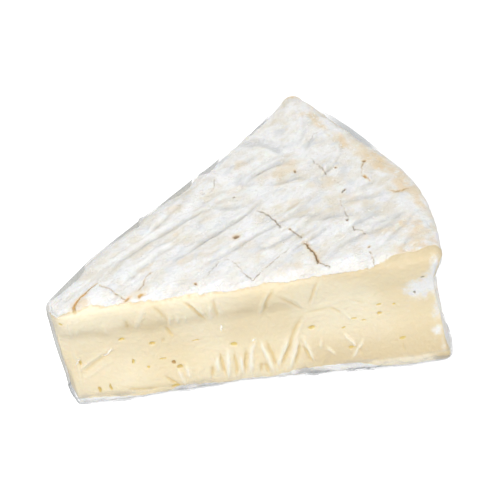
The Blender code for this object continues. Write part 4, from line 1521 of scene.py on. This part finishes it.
FILM_CELLS = (170, 90, 60)
CRINKLE_SIZE = (5.5 * MM, 5.5 * MM, 1.3 * MM)
CRINKLE_RELIEF = 0.28 * MM
CRINKLE_HEIGHT = (7 * MM, 3 * MM)
GATHERED_ALONG = (
    *((0, 0.9), (5, 1), (16, 0.8), (20, 0.2), (27, 0.4), (32, 0.9), (42, 0.7), (46, 0.15)),
    *((58, 0.2), (63, 1), (88, 1.2), (91, 0.3), (97, 0.6), (107, 0.9)),
)
WRINKLE_SIZE = (14 * MM, 9 * MM, 9 * MM)
WRINKLE_RELIEF = 0.05 * MM
WRINKLE_SHARP = 3
RIDGES_THROUGH = 0.9  # the share of the cheese's soft ridges that shows in the film
TURNED_OUT = (0.3, 0.7)
EDGE_TURN = (0.01, 0.15)
SLACK_GAP = (0.02 * MM, 0.20 * MM)
TIP_SLACK = 1.0
RIM_SLACK = 0.15
NEAR_CORNER_ALONG = (98 * MM, 105 * MM)  # where the film lies flat round the corner
NEAR_CORNER_HEIGHT = (37 * MM, 33 * MM)
NEAR_CORNER_FLAT = 0.75
CREASE_SHARP = 1.5
FILM_LIFT = 0.02 * MM
FILM_CLEAR = linear(247, 249, 250)
FILM_GREY = linear(146, 161, 175)
FILM_GATHERED = linear(168, 172, 176)
# the creases' share makes the film whiter along its creases: partly doubled film, partly painted highlight
OPACITY = {"cloudy": 0.03, "crease": 0.10, "slack": 0.06, "edge": 0.6, "gathered": 0.42}
CLEAR_OPACITY = 0.04
FAR_SIDE_OPACITY = 0.65  # where one looks through a slack place at the film's inner side
GLINT_OPACITY = 0.7
MOST_OPACITY = 0.85
BLACK = (0, 0, 0, 1)
GLINT_GLOW = (0.45, 0.45, 0.45, 1)
GLINT_RAGGED = 0.3 * MM
GLINTS = [  # thin bright streaks on the near face, along the cut and up
    Crease(0.45, 1.0, [(11.2, 18.1), (13, 19.1), (15.2, 21.4)]),
    Crease(0.35, 0.8, [(45.9, 24.5), (45.7, 21.4)]),
    Crease(0.35, 0.8, [(54.4, 17.0), (53.6, 16.0)]),
    Crease(0.25, 0.6, [(3.6, 16.5), (5.6, 19.5)]),
]


def make_film(material):
    blank = Blank("film", FILM_CELLS, material, [(on_near_face, 1)])
    coarser_underside(blank)
    near, up = blank.faces["near"], blank.faces["up"]
    near_relief, near_ridges, _ = near_creases(blank)
    relief_behind, ridges_behind, _ = hidden_creases(blank)
    up_relief, up_ridges, _ = creases(blank.top, UPPER_CREASES)
    low = ramp(*CRINKLE_HEIGHT, blank.height) * (1 - blank.faces["down"])
    relief = up * (up_relief + RIDGES_THROUGH * soft_ridges(blank)[0])
    relief += near * near_relief + relief_behind + FILM_LIFT
    relief += CRINKLE_RELIEF * low * folded(lumps(blank.points, CRINKLE_SIZE, 31))
    relief += WRINKLE_RELIEF * folded(lumps(blank.points, WRINKLE_SIZE, 32)) ** WRINKLE_SHARP
    points = wrapped_shape(blank) + blank.normal * relief[:, None]
    points[:, 2] = np.maximum(points[:, 2], 0)
    blank.mesh.vertices.foreach_set("co", points.ravel())

    far_gap, rim_gap = film_gaps(blank)
    slack = ramp(*SLACK_GAP, far_gap + RIM_SLACK * rim_gap)
    slack = np.maximum(slack, TIP_SLACK * ramp(*BY_TIP, blank.along))
    by_near_corner = ramp(*NEAR_CORNER_ALONG, blank.along) * ramp(*NEAR_CORNER_HEIGHT, blank.height)
    ridges = np.maximum(near * near_ridges, up * up_ridges) + ridges_behind
    streaked = blank.side + GLINT_RAGGED * wobble(blank.points, 1.5 * MM, 35)
    set_masks(
        blank.mesh,
        slack=slack * ramp(*TURNED_OUT, np.hypot(*blank.facing[:, :2].T)),
        edge=ramp(*EDGE_TURN, 1 - np.abs(blank.facing).max(axis=1))
        * (1 - NEAR_CORNER_FLAT * by_near_corner * (blank.angle < 0)),
        # whiter film along the creases: partly doubled film, partly painted highlight
        crease=ridges**CREASE_SHARP,
        crinkled=low * trace(blank.along, GATHERED_ALONG, SHARES),
        glint=near * creases(streaked, GLINTS)[1],
    )
    return shown("film", blank.mesh)


def film_material():
    """Clear where it lies on the cheese, grey at its edges and where it spans a gap."""
    material, tree, shader = new_material("clear_film")
    mask = {name: mask_value(tree, name) for name in ("slack", "crease", "glint", "edge", "crinkled")}
    turned_away = add(tree, "ShaderNodeLayerWeight", {"Blend": 0.35}).outputs["Facing"]
    edge = Value(turned_away).math("POWER", 11.0) * mask["edge"]
    inner_side = Value(add(tree, "ShaderNodeNewGeometry", {}).outputs["Backfacing"])
    straight = Value(add(tree, "ShaderNodeLightPath", {}).outputs["Is Camera Ray"])
    seen_through = inner_side * straight * mask["slack"] * FAR_SIDE_OPACITY
    cloudy = noise_value(tree, 6 * MM, 41.0, detail=3.0).ramp(0.4, 0.7)
    gathered = noise_value(tree, 2.4 * MM, 43.0, object_place(tree, 0.0, (2.2, 2.2, 0.6)), detail=4.0)
    gathered = gathered.ramp(0.46, 0.58) * mask["crinkled"]
    alpha = seen_through + mask["glint"] * GLINT_OPACITY + CLEAR_OPACITY
    for name, part in {**mask, "cloudy": cloudy, "edge": edge, "gathered": gathered}.items():
        if name in OPACITY:
            alpha += part * OPACITY[name]
    body = mix_colours(gathered, FILM_CLEAR, FILM_GATHERED)
    fine = noise_value(tree, 2.6 * MM, 42.0)
    look = {
        "Base Color": mix_colours((seen_through + edge - mask["glint"]).clip(0.0, 1.0), body, FILM_GREY),
        "Alpha": alpha.clip(0.0, MOST_OPACITY),
        "Emission Color": mix_colours(mask["glint"], BLACK, GLINT_GLOW),
        "Emission Strength": 1.0,
        "Roughness": 0.12,
        "Specular IOR Level": 0.8,
        "Normal": bump(tree, fine, 0.1 * MM, 0.5),
    }
    feed_all(shader, look)
    return material


film = make_film(film_material())
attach(film, "root")
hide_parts("wrapped_wedge")


# =============================================================================================
# The table, the light and the camera
# A white table in a light tent: soft light from all round, with four large softboxes, above on
# the left and on the right, low in front, and behind.
# =============================================================================================

TABLE_SIZE = 4.0
TABLE_DROP = 0.0002
TABLE_WHITE = (0.55, 0.55, 0.55, 1)
TABLE_GLOW = 0.72
TABLE_BOUNCE = (0.35, 0.35, 0.36, 1)  # what the table throws back on the cheese
TENT_STRENGTH = 0.41


SOFTBOXES = {  # where each hangs, its size and its power
    "softbox_left": ((-0.45, -0.35, 0.45), 0.30, 2.9),
    "softbox_front": ((0.00, -0.90, 0.24), 0.45, 2.05),
    "softbox_right": ((0.75, -0.40, 0.30), 0.45, 2.4),
    "softbox_back": ((0.20, 0.75, 0.38), 0.35, 2.7),
}
SOFTBOX_AIM = Vector((0, 0, 0.02))


def hang_softboxes():
    for name, (place, size, power) in SOFTBOXES.items():
        light = bpy.data.lights.new(name, "AREA")
        light.shape, light.size, light.energy = "SQUARE", size, power
        lamp = in_scene(name, light)
        lamp.location = place
        lamp.rotation_euler = (SOFTBOX_AIM - Vector(place)).to_track_quat("-Z", "Y").to_euler()


def lay_table():
    """A table that is white to the eye and throws back less light on the cheese."""
    half = TABLE_SIZE / 2
    corners = [(-half, -half), (half, -half), (half, half), (-half, half)]
    mesh = bpy.data.meshes.new("table")
    mesh.from_pydata([(x, y, -TABLE_DROP) for x, y in corners], [], [(0, 1, 2, 3)])
    material, tree, seen = new_material("table_white")
    glow = {"Emission Color": (1, 1, 1, 1), "Emission Strength": TABLE_GLOW}
    feed_all(seen, {"Base Color": TABLE_WHITE, "Roughness": 0.9, **glow})
    thrown_back = add(tree, "ShaderNodeBsdfDiffuse", {"Color": TABLE_BOUNCE}).outputs[0]
    straight = add(tree, "ShaderNodeLightPath", {}).outputs["Is Camera Ray"]
    either = add(tree, "ShaderNodeMixShader", {0: straight, 1: thrown_back, 2: seen.outputs[0]})
    feed(tree.nodes["Material Output"].inputs["Surface"], either.outputs[0])
    mesh.materials.append(material)
    table = in_scene("table", mesh)


lay_table()
hang_softboxes()
world = bpy.data.worlds.new("light_tent")
world.use_nodes = True
feed_all(world.node_tree.nodes["Background"], {"Color": (1, 1, 1, 1), "Strength": TENT_STRENGTH})
bpy.context.scene.world = world
bpy.context.scene.view_settings.view_transform = "Standard"

CAMERA_AZIMUTH = math.radians(-20.623)
CAMERA_ELEVATION = math.radians(43.541)
CAMERA_ROLL = math.radians(-9.586)
CAMERA_DISTANCE = 419.652 * MM
CAMERA_AIM = Vector((10.617, 11.833, 15.0)) * MM
SENSOR_WIDTH = 36
LENS = 100.8


def set_camera():
    back = Vector(
        (
            math.sin(CAMERA_AZIMUTH) * math.cos(CAMERA_ELEVATION),
            -math.cos(CAMERA_AZIMUTH) * math.cos(CAMERA_ELEVATION),
            math.sin(CAMERA_ELEVATION),
        )
    )
    level = (-back).cross(Vector((0, 0, 1))).normalized()
    above = level.cross(-back)
    right = level * math.cos(CAMERA_ROLL) + above * math.sin(CAMERA_ROLL)
    up = above * math.cos(CAMERA_ROLL) - level * math.sin(CAMERA_ROLL)
    lens = bpy.data.cameras.new("camera")
    lens.sensor_width, lens.lens = SENSOR_WIDTH, LENS
    lens.clip_start = 0.01
    camera = in_scene("camera", lens)
    turned = Matrix((right, up, back)).transposed().to_4x4()
    camera.matrix_world = Matrix.Translation(CAMERA_AIM + back * CAMERA_DISTANCE) @ turned
    bpy.context.scene.camera = camera


set_camera()
